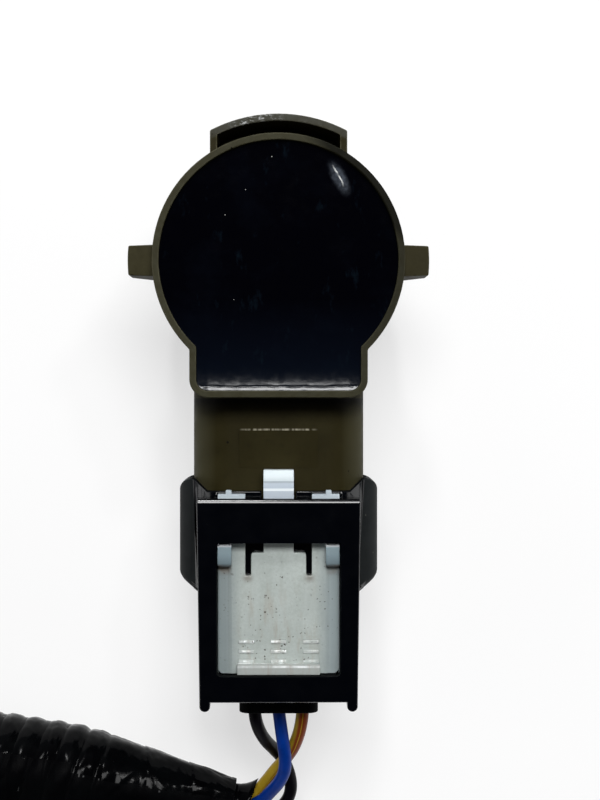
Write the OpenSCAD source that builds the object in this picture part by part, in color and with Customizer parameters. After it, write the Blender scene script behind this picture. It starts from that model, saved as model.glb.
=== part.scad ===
// Ultrasonic parking sensor with its latched plug and a short cut pigtail.
// The sensing face lies on z = 0, the potted back looks up and the plug points to -y.

/* [Head] */
// Outside diameter of the round head
head_d = 26; // [25:0.25:27]
// Height of the rim above the sensing face
rim_z = 22; // [21.5:0.25:24]
// Height of the shoulder behind the barrel
shoulder_z = 8; // [7.75:0.05:8.15]
// Wall of the rim around the potting
rim_wall = 0.7; // [0.5:0.05:0.9]
// Width of the box where the neck joins the head
box_w = 18.3; // [17.8:0.1:18.8]
// How far the box stands out past the round head
box_reach = 1.15; // [1:0.05:1.5]
// Outside corner of the box
box_corner = 1.85; // [1.2:0.05:2.5]
// Depth of the potting below the rim
potting_drop = 0.5; // [0.2:0.05:1]

/* [Lugs and loop] */
// Distance from one lug tip to the other
lug_span = 31.2; // [30:0.2:32]
// Width of a lug at the head
lug_root = 3.3; // [2.8:0.1:3.8]
// Width of a lug at its tip
lug_tip = 3.05; // [2.4:0.05:3.3]
// Drop of the lug top below the rim
lug_drop = 1.5; // [1:0.1:2]
// Height of a lug along the axis
lug_h = 6.5; // [5:0.25:7]
// Outside radius of the loop's curved bar
loop_r = 15.4; // [15:0.1:16]
// Width of the loop
loop_w = 14.3; // [13:0.1:15]
// Wall of the loop
loop_wall = 0.75; // [0.6:0.05:0.9]
// Drop of the loop's top below the rim
loop_drop = 2.5; // [2:0.1:3.5]
// Height of the loop along the axis
loop_h = 7.5; // [6:0.25:8]

/* [Barrel and transducer] */
// Outside diameter of the barrel
barrel_d = 20.6; // [20:0.1:21.2]
// Height of the barrel's front edge above the sensing face
barrel_front = 1; // [0.8:0.05:1.3]
// Wall of the barrel
barrel_wall = 1.4; // [1.1:0.05:1.6]
// Wall of the rubber ring between cup and barrel
ring_wall = 1.5; // [1.2:0.05:1.8]
// Wall of the transducer cup
cup_wall = 1; // [0.8:0.05:1.2]
// Thickness of the sensing face
cup_face = 0.8; // [0.6:0.05:1]
// Clear space between the piezo disc and the cup's wall
piezo_gap = 2.9; // [2.6:0.05:3.2]

/* [Neck] */
// Width of the neck
neck_w = 18.3; // [17.8:0.1:18.4]
// Thickness of the neck
neck_t = 9.2; // [9.05:0.05:9.3]
// Length of the neck past the box
neck_l = 18.9; // [18.5:0.1:20]
// Wall of the socket inside the neck
socket_wall = 1.5; // [1.4:0.05:1.6]
// Height of the raised latch pad
pad_h = 0.25; // [0.1:0.05:0.25]

/* [Plug] */
// Wall of the hood around the neck
hood_wall = 1.2; // [1:0.05:1.35]
// Clear gap between hood and neck
hood_gap = 0.3; // [0.2:0.05:0.35]
// Length of the hood
hood_l = 11.6; // [11.5:0.1:12.5]
// Width of the guard frame at the front
guard_w = 16.9; // [16.5:0.1:17.5]
// Height of the guard frame's top above the neck
guard_h = 4.1; // [4:0.05:4.5]
// Width of the lock window
window_w = 12.8; // [12.6:0.1:13]
// Length of the lock window
window_l = 13.75; // [13.45:0.05:14]
// Length of the bridge over the lock plate
bridge_l = 4.55; // [4.3:0.05:4.7]

/* [Pigtail] */
// Outside diameter of one wire
wire_d = 1.4; // [1.3:0.02:1.5]
// Outside diameter of the taped loom
loom_d = 12.2; // [11.8:0.1:12.6]
// Length of one rib of the conduit
rib_pitch = 2.45; // [2.2:0.05:2.7]
// Number of ribs on the conduit
rib_count = 14; // [12:1:14]

/* [Hidden] */
$fn = 64;

olive = [0.17, 0.17, 0.12];
resin = [0.02, 0.02, 0.03];
black = [0.05, 0.055, 0.06];
silver = [0.72, 0.74, 0.76];
white = [0.68, 0.71, 0.71];
grey = [0.32, 0.33, 0.34];
rubber_blue = [0.12, 0.2, 0.36];
copper = [0.72, 0.42, 0.25];
brass = [0.74, 0.62, 0.34];
green = [0.06, 0.25, 0.14];
ceramic = [0.8, 0.77, 0.68];

// head
head_r = head_d / 2;
box_y = head_r + box_reach;
floor_t = 2;
floor_z = shoulder_z + floor_t;
potting_z = rim_z - potting_drop;
lug_r = lug_span / 2;
lug_z = rim_z - lug_drop - lug_h;
lug_ramp = 3;
loop_z = rim_z - loop_drop - loop_h;
loop_web = 1;
post_r = 0.9;
post_x = 6.6;
post_y = 5.6;

// barrel and transducer
barrel_r = barrel_d / 2;
barrel_chamfer = 0.5;
ring_r = barrel_r - barrel_wall;
ring_proud = 0.4;
ring_front = barrel_front - ring_proud;
ring_lip = 0.6;
cup_r = ring_r - ring_wall;
cup_bore = cup_r - cup_wall;
cup_top = shoulder_z;
bore_top = cup_top + ring_lip;
lead_hole_edge = 1.2;
lead_hole_r = cup_bore - lead_hole_edge;
lead_r = 0.25;
piezo_t = 0.6;
piezo_r = cup_bore - piezo_gap;
ground_gap = 1;
ground_x = piezo_r + ground_gap;

// neck and socket
neck_rise = 4.8;
neck_z = shoulder_z + neck_rise;
neck_top = neck_z + neck_t / 2;
neck_end = -box_y - neck_l;
neck_corner = neck_t / 2 - 0.3;
socket_w = neck_w - 2 * socket_wall;
socket_t = neck_t - 2 * socket_wall + 0.2;
socket_corner = socket_t / 2 - 0.4;
socket_floor = 2.85;
socket_back = -box_y - socket_floor;
pad_w = 8.3;
pad_gap = 3.42;
pad_front = -box_y - pad_gap;
pad_l = 4;
pitch = 2.6;
pin_w = 0.64;
pin_inset = 5;
pin_tip = neck_end + pin_inset;
pin_foot = 3.65;
pin_up = -box_y + pin_foot;

// board and its parts
board_inset = 2;
board_rise = 1.4;
board_z = neck_z + board_rise;
board_t = 1.2;
board_top = board_z + board_t;
chip_w = 5;
chip_h = 1;
winding_w = 5;
winding_h = 4.2;
winding_flange = 0.8;
capacitor_size = [3.2, 1.8, 1.5];
capacitor_x = [-6.2, 2.8];
capacitor_y = -5.4;
chip_pos = [-6.4, 1.6];
winding_pos = [4.5, 4.4];

// plug
hood_in_w = neck_w + 2 * hood_gap;
hood_in_t = neck_t + 2 * hood_gap;
hood_in_corner = hood_in_t / 2 - 0.3;
hood_w = hood_in_w + 2 * hood_wall;
hood_t = hood_in_t + 2 * hood_wall;
hood_corner = hood_t / 2 - 0.4;
hood_floor = neck_end - hood_gap;
hood_cover = 10.35;
hood_front = neck_end + hood_cover;
hood_rear = hood_front - hood_l;
hood_nose = 1.5;
hood_cut = [1.65, 1.05];
notch_w = 15;
notch_l = 1.25;
notch_flare = 1.4;
core_gap = 0.3;
core_w = socket_w - 2 * core_gap;
core_t = socket_t - 2 * core_gap;
core_corner = core_t / 2 - 0.5;
core_tip_gap = 1;
core_front = socket_back - core_tip_gap;
groove_depth = 0.6;
groove_setback = 1.35;
groove_front = hood_front - groove_setback;
groove_l = 3;
body_w = 14.8;
body_t = 10.8;
body_corner = 1.5;
body_lift = 0.2;
body_z = neck_z + body_lift;
body_l = 13;
body_rear = neck_end - body_l;
guard_sink = 0.4;
guard_z = neck_z + hood_in_t / 2 + guard_sink;
guard_top = neck_top + guard_h;
guard_setback = 1.9;
guard_front = hood_front - guard_setback;
guard_l = 20.95;
guard_rear = guard_front - guard_l;
guard_taper = 0.3;
leg_w = 1.1;
leg_l = 0.4;
window_front = guard_front - bridge_l;
window_rear = window_front - window_l;
window_corner = 0.5;
pocket_rise = 1.2;
pocket_z = neck_top + pocket_rise;
pocket_h = 1.4;
pocket_top = pocket_z + pocket_h;
tongue_slot_w = 3.6;
cavity_w = 1.9;
cavity_h = 2.2;
seal_r = 1.2;
seal_back = 7;
seal_front = neck_end - seal_back;
cap_w = 8.4;
cap_t = 7.2;
cap_corner = 1.2;
cap_seat = 1;
cap_front = body_rear + cap_seat;
cap_out = 1.65;
cap_rear = body_rear - cap_out;
terminal_setback = 0.5;
terminal_front = core_front - terminal_setback;
terminal_box = 8;
crimp_inset = 2;
terminal_end = neck_end + crimp_inset;
crimp_r = 0.9;

// lock plate
plate_gap = 0.07;
plate_w = window_w - 2 * plate_gap;
plate_t = 1.3;
plate_top = pocket_z + plate_t;
plate_rear = window_rear + plate_gap;
plate_corner = window_corner - plate_gap;
prong_out = 0.4;
plate_front = guard_front + prong_out;
nub_x = 5.2;
nub_w = 0.6;
nub_l = 0.4;
tongue_w = 3.16;
shoulder_w = 5.72;
slit_w = 6.94;
shoulder_back = 1.1;
shoulder_y = window_front - shoulder_back;
slit_back = 3.55;
slit_y = window_front - slit_back;
tongue_out = 1;
tongue_tip = hood_front + tongue_out;
catch_w = 2.6;
catch_l = 1.3;
catch_h = 1;
hook_l = 1.35;
slope_l = 1.15;
slope_h = 0.5;
catch_gap = 0.1;
catch_y = tongue_tip - hook_l - catch_gap;
corner_block = [1.45, 2.45, 0.5];
column_step = 0.12;
ridge_r = 0.25;
ridge_l = 1.6;
ridge_pitch = 3.35;
ridge_step = 1;
ridge_gap = 1.35;
ridge_y = plate_rear + ridge_gap;
lip_w = 8.6;
lip_l = 1.1;
lip_h = 0.9;

// pigtail, laid out from the middle of the plug's rear face
loom_r = loom_d / 2;
loom_pos = [-31, -8, loom_r - neck_z];
loom_turn = -9;
tape_t = 0.35;
conduit_r = loom_r - tape_t;
rib_depth = 0.8;
conduit_valley = conduit_r - rib_depth;
conduit_wall = 0.5;
conduit_end = 8;
conduit_start = conduit_end - rib_count * rib_pitch;
bundle = wire_d * 0.61;
sleeve_r = wire_d / 2 + bundle;
mouth_end = 27.2;
mouth_step = 26.2;
mouth_r = 2.75;
tail_cone = 8;
tail_step = conduit_start - tail_cone;
tail_sleeve = 1.5;
tail_end = tail_step - tail_sleeve;
ripple = 0.05;
wire_start = terminal_end - cap_rear;
strand_r = 0.45;
strand_l = 4;
wire_sides = 8;
// drop from the loom's axis to a wire that lies on the ground
ground = wire_d / 2 - loom_r + 0.03;

// bundle place: distance along the loom, sideways and up
function in_loom(s, n, h) = loom_pos + [
    s * cos(loom_turn) - n * sin(loom_turn),
    s * sin(loom_turn) + n * cos(loom_turn),
    h
];

route_purple = [
    [-pitch, wire_start, 0],
    [-pitch, 0, 0],
    [-2.5, -1.3, -0.2],
    [-2.1, -2.8, -1.2],
    [-1.4, -4.3, -2.8],
    [-0.5, -5.6, -4.4],
    [0.5, -7, -5.5],
    [1.2, -8.8, -5.9],
    [1.35, -10.5, -6.1],
    [0.8, -12, -6.5],
    [-0.4, -13.1, -6.9],
    [-2, -13.6, -7.1],
    in_loom(27.6, -0.866 * bundle, -0.5 * bundle),
    in_loom(tail_end - 0.5, -0.866 * bundle, -0.5 * bundle),
    in_loom(tail_end - 4, -1.3, -1.1),
    in_loom(tail_end - 8, -2.4, -3.1),
    in_loom(tail_end - 12, -3.8, -5),
    in_loom(tail_end - 16, -5.4, ground),
    in_loom(tail_end - 20, -7.2, ground)
];

route_blue = [
    [0, wire_start, 0],
    [0, 0, 0],
    [0.2, -1.9, -0.1],
    [0.5, -4.1, -0.3],
    [0.7, -5.8, -0.8],
    [0.6, -7.4, -1.6],
    [0, -8.9, -2.7],
    [-0.9, -10.2, -3.9],
    [-1.9, -11.4, -4.9],
    in_loom(27.6, 0, bundle),
    in_loom(tail_end - 0.5, 0, bundle),
    in_loom(tail_end - 4, 0.1, 0.4),
    in_loom(tail_end - 8, 0.3, -1.4),
    in_loom(tail_end - 12, 0.6, -3.9),
    in_loom(tail_end - 16, 0.9, -5.2),
    in_loom(tail_end - 19, 1.1, ground)
];

route_yellow = [
    [pitch, wire_start, 0],
    [pitch, 0, 0],
    [2.5, -1.4, -0.1],
    [2.2, -3, -0.7],
    [1.6, -4.8, -1.8],
    [0.7, -6.4, -3.1],
    [-0.4, -7.9, -4.3],
    [-1.5, -9.6, -5.7],
    [-2.5, -10.9, -6.6],
    in_loom(27.6, 0.866 * bundle, -0.5 * bundle),
    in_loom(tail_end - 0.5, 0.866 * bundle, -0.5 * bundle),
    in_loom(tail_end - 4, 1.3, -1.2),
    in_loom(tail_end - 8, 2.5, -3.3),
    in_loom(tail_end - 12, 4.1, -5.1),
    in_loom(tail_end - 15, 5.5, ground),
    in_loom(tail_end - 18, 7, ground)
];

// rounded rectangle made of exact arcs
module rounded(w, t, r) {
    square([w - 2 * r, t], center = true);
    square([w, t - 2 * r], center = true);
    for (x = [-1, 1])
        for (y = [-1, 1])
            translate([x * (w / 2 - r), y * (t / 2 - r)])
                circle(r = r);
}

// rounded bar along y, from y0 down to y1
module bar(w, t, r, y0, y1, z) {
    translate([0, y0, z])
        rotate([90, 0, 0])
            linear_extrude(y0 - y1)
                rounded(w, t, r);
}

// block given by its x half width, y span and z span
module slab(half, y0, y1, z0, z1) {
    translate([-half, y1, z0])
        cube([2 * half, y0 - y1, z1 - z0]);
}

// plan of the head: a disc with a box toward the neck
module head_outline(inset) {
    corner = box_corner - inset;
    half = box_w / 2 - inset;
    low = box_y - inset;
    circle(r = head_r - inset, $fn = 96);
    translate([-half, corner - low])
        square([2 * half, low - corner]);
    translate([corner - half, -low])
        square([2 * (half - corner), low]);
    for (x = [-1, 1])
        translate([x * (half - corner), corner - low])
            circle(r = corner);
}

module lug_pair() {
    for (side = [-1, 1])
        intersection() {
            translate([0, 0, lug_z])
                linear_extrude(lug_h)
                    intersection() {
                        circle(r = lug_r, $fn = 96);
                        polygon([
                            [side * (head_r - 0.5), lug_root / 2],
                            [side * (lug_r + 0.1), lug_tip / 2],
                            [side * (lug_r + 0.1), -lug_tip / 2],
                            [side * (head_r - 0.5), -lug_root / 2]
                        ]);
                    }
            translate([0, lug_root, 0])
                rotate([90, 0, 0])
                    linear_extrude(2 * lug_root)
                        polygon([
                            [side * (head_r - 1), lug_z],
                            [side * head_r, lug_z],
                            [side * (lug_r + 0.2), lug_z + lug_ramp],
                            [side * (lug_r + 0.2), lug_z + lug_h],
                            [side * (head_r - 1), lug_z + lug_h]
                        ]);
        }
}

module loop_plan(inset) {
    intersection() {
        circle(r = loop_r - inset, $fn = 96);
        translate([inset - loop_w / 2, head_r / 2])
            square([loop_w - 2 * inset, head_r]);
    }
}

module loop_bar() {
    translate([0, 0, loop_z]) {
        linear_extrude(loop_web)
            loop_plan(0);
        linear_extrude(loop_h)
            difference() {
                loop_plan(0);
                loop_plan(loop_wall);
            }
    }
}

module barrel_body() {
    rotate_extrude($fn = 96)
        polygon([
            [0, barrel_front],
            [barrel_r - barrel_chamfer, barrel_front],
            [barrel_r, barrel_front + barrel_chamfer],
            [barrel_r, shoulder_z + 0.5],
            [0, shoulder_z + 0.5]
        ]);
}

module posts() {
    for (x = [-post_x, post_x])
        for (y = [-post_y, post_y])
            translate([x, y, floor_z - 0.5])
                cylinder(r = post_r, h = board_z - floor_z + 0.5, $fn = 24);
}

module sensor_housing() {
    color(olive) {
        difference() {
            union() {
                barrel_body();
                translate([0, 0, shoulder_z])
                    linear_extrude(rim_z - shoulder_z)
                        head_outline(0);
                bar(neck_w, neck_t, neck_corner, -head_r + 2, neck_end, neck_z);
                slab(pad_w / 2, pad_front, pad_front - pad_l, neck_z, neck_top + pad_h);
                slab(catch_w / 2, catch_y, catch_y - catch_l, neck_z, neck_top + catch_h);
                lug_pair();
                loop_bar();
            }
            translate([0, 0, floor_z])
                linear_extrude(rim_z)
                    head_outline(rim_wall);
            cylinder(r = ring_r, h = bore_top);
            cylinder(r = lead_hole_r, h = floor_z + 1);
            bar(socket_w, socket_t, socket_corner, socket_back, neck_end - 1, neck_z);
            for (side = [-1, 0, 1])
                contact_pin(side);
        }
        posts();
    }
}

module transducer_cup() {
    color(silver)
        difference() {
            cylinder(r = cup_r, h = cup_top, $fn = 96);
            translate([0, 0, cup_face])
                cylinder(r = cup_bore, h = cup_top);
        }
}

module piezo_disc() {
    color(ceramic)
        translate([0, 0, cup_face])
            cylinder(r = piezo_r, h = piezo_t);
}

module damping_pad() {
    color(grey)
        difference() {
            union() {
                translate([0, 0, cup_face + piezo_t])
                    cylinder(r = cup_bore, h = bore_top - cup_face - piezo_t);
                translate([0, 0, cup_face + piezo_t])
                    cylinder(r = lead_hole_r, h = floor_z - cup_face - piezo_t);
            }
            signal_lead();
            ground_lead();
        }
}

module decoupling_ring() {
    color(grey)
        rotate_extrude($fn = 96)
            polygon([
                [cup_r, ring_front],
                [ring_r, ring_front],
                [ring_r, bore_top],
                [cup_bore, bore_top],
                [cup_bore, cup_top],
                [cup_r, cup_top]
            ]);
}

module lead(x, z0) {
    color(copper)
        translate([x, 0, z0])
            cylinder(r = lead_r, h = board_top + 0.5 - z0, $fn = 24);
}

module signal_lead() {
    lead(0, cup_face + piezo_t);
}

module ground_lead() {
    lead(ground_x, cup_face);
}

module circuit_board() {
    color(green)
        difference() {
            translate([0, 0, board_z])
                linear_extrude(board_t)
                    head_outline(board_inset - 0.15);
            for (side = [-1, 0, 1])
                contact_pin(side);
            signal_lead();
            ground_lead();
        }
}

module control_chip() {
    color(black)
        translate([chip_pos[0], chip_pos[1], board_top])
            cube([chip_w, chip_w, chip_h]);
}

module transformer() {
    color(brass)
        translate([winding_pos[0], winding_pos[1], board_top]) {
            translate([-winding_w / 2, -winding_w / 2, 0])
                cube([winding_w, winding_w, winding_flange]);
            cylinder(d = winding_w - 1, h = winding_h);
            translate([-winding_w / 2, -winding_w / 2, winding_h - winding_flange])
                cube([winding_w, winding_w, winding_flange]);
        }
}

module capacitors() {
    color(ceramic)
        for (x = capacitor_x)
            translate([x, capacitor_y, board_top])
                cube(capacitor_size);
}

module contact_pin(side) {
    half = pin_w / 2;
    color(brass)
        translate([side * pitch, 0, 0]) {
            slab(half, pin_up + half, pin_tip, neck_z - half, neck_z + half);
            slab(half, pin_up + half, pin_up - half, neck_z - half, board_top + 0.8);
        }
}

module contact_pin_left() {
    contact_pin(-1);
}

module contact_pin_middle() {
    contact_pin(0);
}

module contact_pin_right() {
    contact_pin(1);
}

module potting() {
    color(resin)
        difference() {
            translate([0, 0, floor_z])
                linear_extrude(potting_z - floor_z)
                    head_outline(rim_wall);
            posts();
            circuit_board();
            control_chip();
            transformer();
            capacitors();
            for (side = [-1, 0, 1])
                contact_pin(side);
            signal_lead();
            ground_lead();
        }
}

// plan of the hood: rounded front corners, cut rear corners
module hood_plan() {
    half = hood_w / 2;
    polygon([
        [-half, hood_front - hood_nose],
        [half, hood_front - hood_nose],
        [half, hood_rear + hood_cut[1]],
        [half - hood_cut[0], hood_rear],
        [hood_cut[0] - half, hood_rear],
        [-half, hood_rear + hood_cut[1]]
    ]);
    translate([hood_nose - half, hood_front - 2 * hood_nose])
        square([2 * (half - hood_nose), 2 * hood_nose]);
    for (x = [-1, 1])
        translate([x * (half - hood_nose), hood_front - hood_nose])
            circle(r = hood_nose);
}

// cut in the hood's top edge, where the neck shows between two ears
module hood_notch() {
    half = notch_w / 2;
    polygon([
        [-half, hood_front - notch_l],
        [half, hood_front - notch_l],
        [half + notch_flare, hood_front],
        [half + notch_flare, hood_front + 1],
        [-half - notch_flare, hood_front + 1],
        [-half - notch_flare, hood_front]
    ]);
}

module hood() {
    difference() {
        intersection() {
            bar(hood_w, hood_t, hood_corner, hood_front, hood_rear, neck_z);
            translate([0, 0, neck_z - hood_t])
                linear_extrude(2 * hood_t)
                    hood_plan();
        }
        bar(hood_in_w, hood_in_t, hood_in_corner, hood_front + 1, hood_floor, neck_z);
        translate([0, 0, neck_z])
            linear_extrude(hood_t)
                hood_notch();
    }
}

module guard_plan() {
    front = guard_w / 2;
    rear = front - guard_taper;
    polygon([
        [-front, guard_front],
        [front, guard_front],
        [rear, guard_rear],
        [-rear, guard_rear]
    ]);
    for (x = [-1, 1])
        translate([x * (rear - leg_w / 2), guard_rear - leg_l]) {
            circle(d = leg_w, $fn = 24);
            translate([-leg_w / 2, 0])
                square([leg_w, 2 * leg_l]);
        }
}

// tongue inside the socket, with a waist for the interface seal
module core() {
    bar(core_w, core_t, core_corner, core_front, groove_front, neck_z);
    seal_seat();
    bar(core_w, core_t, core_corner, groove_front - groove_l, hood_floor - 1, neck_z);
}

// plan of the lock window and of the plate in it: the two rear corners are round
module rear_rounded(half, front, rear, corner) {
    translate([-half, rear + corner])
        square([2 * half, front - rear - corner]);
    translate([corner - half, rear])
        square([2 * (half - corner), 2 * corner]);
    for (x = [-1, 1])
        translate([x * (half - corner), rear + corner])
            circle(r = corner, $fn = 24);
}

module plug_housing() {
    color(black)
        difference() {
            union() {
                hood();
                core();
                bar(body_w, body_t, body_corner, hood_floor, body_rear, body_z);
                translate([0, 0, guard_z])
                    linear_extrude(guard_top - guard_z)
                        guard_plan();
            }
            slab(window_w / 2, hood_front + 1, window_front - 1, pocket_z, pocket_top);
            translate([0, 0, pocket_z])
                linear_extrude(guard_top)
                    rear_rounded(window_w / 2, window_front, window_rear, window_corner);
            slab(tongue_slot_w / 2, hood_front + 1, guard_front - 1, neck_top, pocket_top);
            for (side = [-1, 0, 1])
                translate([side * pitch, 0, 0]) {
                    slab(cavity_w / 2, core_front + 1, terminal_end, neck_z - cavity_h / 2, neck_z + cavity_h / 2);
                    translate([0, terminal_end, neck_z])
                        rotate([90, 0, 0])
                            cylinder(r = seal_r, h = terminal_end - body_rear + 1, $fn = 32);
                }
            bar(cap_w, cap_t, cap_corner, cap_front, body_rear - 1, neck_z);
        }
}

// the core's waist under the interface seal
module seal_seat() {
    bar(
        core_w - 2 * groove_depth, core_t - 2 * groove_depth, core_corner - groove_depth,
        groove_front + 1, groove_front - groove_l - 1, neck_z
    );
}

module interface_seal() {
    color(rubber_blue)
        difference() {
            bar(socket_w, socket_t, socket_corner, groove_front, groove_front - groove_l, neck_z);
            seal_seat();
        }
}

module plate_plan() {
    half = plate_w / 2;
    for (x = [-1, 1])
        translate([x > 0 ? slit_w / 2 : -half, slit_y - 1])
            square([half - slit_w / 2, plate_front - slit_y + 1]);
    rear_rounded(half, slit_y, plate_rear, plate_corner);
    translate([-shoulder_w / 2, slit_y - 1])
        square([shoulder_w, shoulder_y - slit_y + 1]);
    translate([-tongue_w / 2, shoulder_y - 1])
        square([tongue_w, tongue_tip - shoulder_y + 1]);
    for (x = [-1, 1])
        translate([x * nub_x - nub_w / 2, plate_front - 1])
            square([nub_w, nub_l + 1]);
}

// what comes off the top of the tongue's tip
module tongue_slope() {
    translate([-tongue_w, tongue_tip, plate_top])
        rotate([90, 0, 90])
            linear_extrude(2 * tongue_w)
                polygon([[1, -slope_h], [1, 1], [-slope_l, 1], [-slope_l, 0], [0, -slope_h]]);
}

module ridges() {
    for (x = [-1, 0, 1])
        for (row = [0, 1, 2])
            translate([x * ridge_pitch - ridge_l / 2, ridge_y + row * ridge_step, plate_top - 0.05])
                rotate([0, 90, 0])
                    cylinder(r = ridge_r, h = ridge_l, $fn = 24);
}

module lock_plate() {
    block = corner_block;
    edge = plate_w / 2;
    color(white)
        difference() {
            union() {
                translate([0, 0, pocket_z])
                    linear_extrude(plate_t)
                        plate_plan();
                slab(tongue_w / 2, tongue_tip, tongue_tip - hook_l, neck_top + 0.1, plate_top);
                for (x = [-1, 1])
                    translate([x > 0 ? edge - block[0] : -edge, window_front - 0.1 - block[1], pocket_z])
                        cube([block[0], block[1], plate_t + block[2]]);
                ridges();
                slab(lip_w / 2, plate_rear + lip_l, plate_rear, pocket_z, plate_top + lip_h);
            }
            for (x = [-1, 1])
                translate([x > 0 ? edge - block[0] : -edge - 1, plate_rear - 1, plate_top - column_step])
                    cube([block[0] + 1, window_front - block[1] - plate_rear + 0.9, 2]);
            tongue_slope();
        }
}

module terminal(side) {
    color(silver)
        difference() {
            union() {
                translate([side * pitch, 0, 0])
                    slab(
                        cavity_w / 2, terminal_front, terminal_front - terminal_box,
                        neck_z - cavity_h / 2, neck_z + cavity_h / 2
                    );
                translate([side * pitch, terminal_front - 1, neck_z])
                    rotate([90, 0, 0])
                        cylinder(r = crimp_r, h = terminal_front - 1 - terminal_end, $fn = 24);
            }
            contact_pin(side);
        }
}

module terminal_left() {
    terminal(-1);
}

module terminal_middle() {
    terminal(0);
}

module terminal_right() {
    terminal(1);
}

module wire_seal(side) {
    color(rubber_blue)
        translate([side * pitch, seal_front, neck_z])
            rotate([90, 0, 0])
                difference() {
                    cylinder(r = seal_r, h = seal_front - cap_front, $fn = 32);
                    translate([0, 0, -1])
                        cylinder(d = wire_d, h = seal_front - cap_front + 2, $fn = 32);
                }
}

module wire_seal_left() {
    wire_seal(-1);
}

module wire_seal_middle() {
    wire_seal(0);
}

module wire_seal_right() {
    wire_seal(1);
}

module seal_cap() {
    color(black)
        difference() {
            bar(cap_w, cap_t, cap_corner, cap_front, cap_rear, neck_z);
            for (side = [-1, 0, 1])
                translate([side * pitch, cap_front + 1, neck_z])
                    rotate([90, 0, 0])
                        cylinder(d = wire_d, h = cap_front - cap_rear + 2, $fn = 32);
        }
}

function unit(v) = v / norm(v);

// direction of a route at point i
function heading(path, i) = i == 0
    ? unit(path[1] - path[0])
    : i == len(path) - 1
        ? unit(path[i] - path[i - 1])
        : unit(unit(path[i + 1] - path[i]) + unit(path[i] - path[i - 1]));

// one ring of points around the route at point i
function ring(path, i, r) = let (
    along = heading(path, i),
    across = unit(cross(along, [0, 0, 1])),
    up = cross(across, along)
) [
    for (k = [0:wire_sides - 1])
        path[i] + r * (cos(360 * k / wire_sides) * across + sin(360 * k / wire_sides) * up)
];

module sweep(path, r) {
    n = len(path);
    m = wire_sides;
    points = [for (i = [0:n - 1]) each ring(path, i, r)];
    skin = [
        for (i = [0:n - 2])
            for (k = [0:m - 1])
                each [
                    [i * m + k, i * m + (k + 1) % m, (i + 1) * m + (k + 1) % m],
                    [i * m + k, (i + 1) * m + (k + 1) % m, (i + 1) * m + k]
                ]
    ];
    near = [for (k = [0:m - 1]) m - 1 - k];
    far = [for (k = [0:m - 1]) (n - 1) * m + k];
    polyhedron(points = points, faces = concat([near], skin, [far]));
}

module at_exit() {
    translate([0, cap_rear, neck_z])
        children();
}

module wire_purple() {
    color([0.13, 0.09, 0.15])
        at_exit()
            sweep(route_purple, wire_d / 2);
}

module wire_blue() {
    color([0.01, 0.21, 0.5])
        at_exit()
            sweep(route_blue, wire_d / 2);
}

module wire_yellow() {
    color([0.6, 0.5, 0.14])
        at_exit()
            sweep(route_yellow, wire_d / 2);
}

// bared copper past the last point of a route
module strand(path) {
    last = path[len(path) - 1];
    along = unit(last - path[len(path) - 2]);
    translate(last)
        rotate([0, acos(along[2]), atan2(along[1], along[0])])
            cylinder(r = strand_r, h = strand_l, $fn = 24);
}

module bare_strands() {
    color(copper)
        at_exit() {
            strand(route_purple);
            strand(route_blue);
            strand(route_yellow);
        }
}

module along_loom() {
    translate([0, cap_rear, neck_z])
        translate(loom_pos)
            rotate([0, 0, loom_turn])
                rotate([0, 90, 0])
                    children();
}

// conduit wall: a square-edged wave between crest and valley
function wave(drop) = [
    for (i = [0:rib_count - 1])
        each [
            [conduit_valley - drop, conduit_start + i * rib_pitch],
            [conduit_valley - drop, conduit_start + (i + 0.4) * rib_pitch],
            [conduit_r - drop, conduit_start + (i + 0.5) * rib_pitch],
            [conduit_r - drop, conduit_start + (i + 0.9) * rib_pitch]
        ]
];

function backward(list) = [for (i = [len(list) - 1:-1:0]) list[i]];

module conduit() {
    last = [conduit_valley, conduit_end];
    color([0.03, 0.03, 0.035])
        along_loom()
            rotate_extrude()
                polygon(concat(
                    wave(0),
                    [last, last - [conduit_wall, 0]],
                    backward(wave(conduit_wall))
                ));
}

// tape over the ribs, drawn down onto the wires at both ends
module tape_wrap() {
    crests = [
        for (i = [0:rib_count - 1])
            each [
                [loom_r - ripple * 4, conduit_start + (i + 0.1) * rib_pitch],
                [loom_r - ripple, conduit_start + (i + 0.4) * rib_pitch],
                [loom_r, conduit_start + (i + 0.7) * rib_pitch],
                [loom_r - ripple, conduit_start + i * rib_pitch + rib_pitch]
            ]
    ];
    outside = concat(
        [[sleeve_r + tape_t, tail_end], [sleeve_r + tape_t, tail_step], [mouth_r, tail_step]],
        crests,
        [[mouth_r, mouth_step], [sleeve_r + tape_t, mouth_step], [sleeve_r + tape_t, mouth_end]]
    );
    inside = [
        [sleeve_r, mouth_end],
        [sleeve_r, mouth_step - 1],
        [conduit_r, conduit_end],
        [conduit_r, conduit_start],
        [sleeve_r, tail_step + 1],
        [sleeve_r, tail_end]
    ];
    color([0.02, 0.024, 0.03])
        along_loom()
            rotate_extrude()
                polygon(concat(outside, inside));
}

sensor_housing();
transducer_cup();
piezo_disc();
damping_pad();
decoupling_ring();
signal_lead();
ground_lead();
circuit_board();
control_chip();
transformer();
capacitors();
contact_pin_left();
contact_pin_middle();
contact_pin_right();
potting();
plug_housing();
lock_plate();
interface_seal();
terminal_left();
terminal_middle();
terminal_right();
wire_seal_left();
wire_seal_middle();
wire_seal_right();
seal_cap();
wire_purple();
wire_blue();
wire_yellow();
bare_strands();
conduit();
tape_wrap();
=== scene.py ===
import math

import bmesh
import bpy
from mathutils import Matrix, Vector, noise


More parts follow.
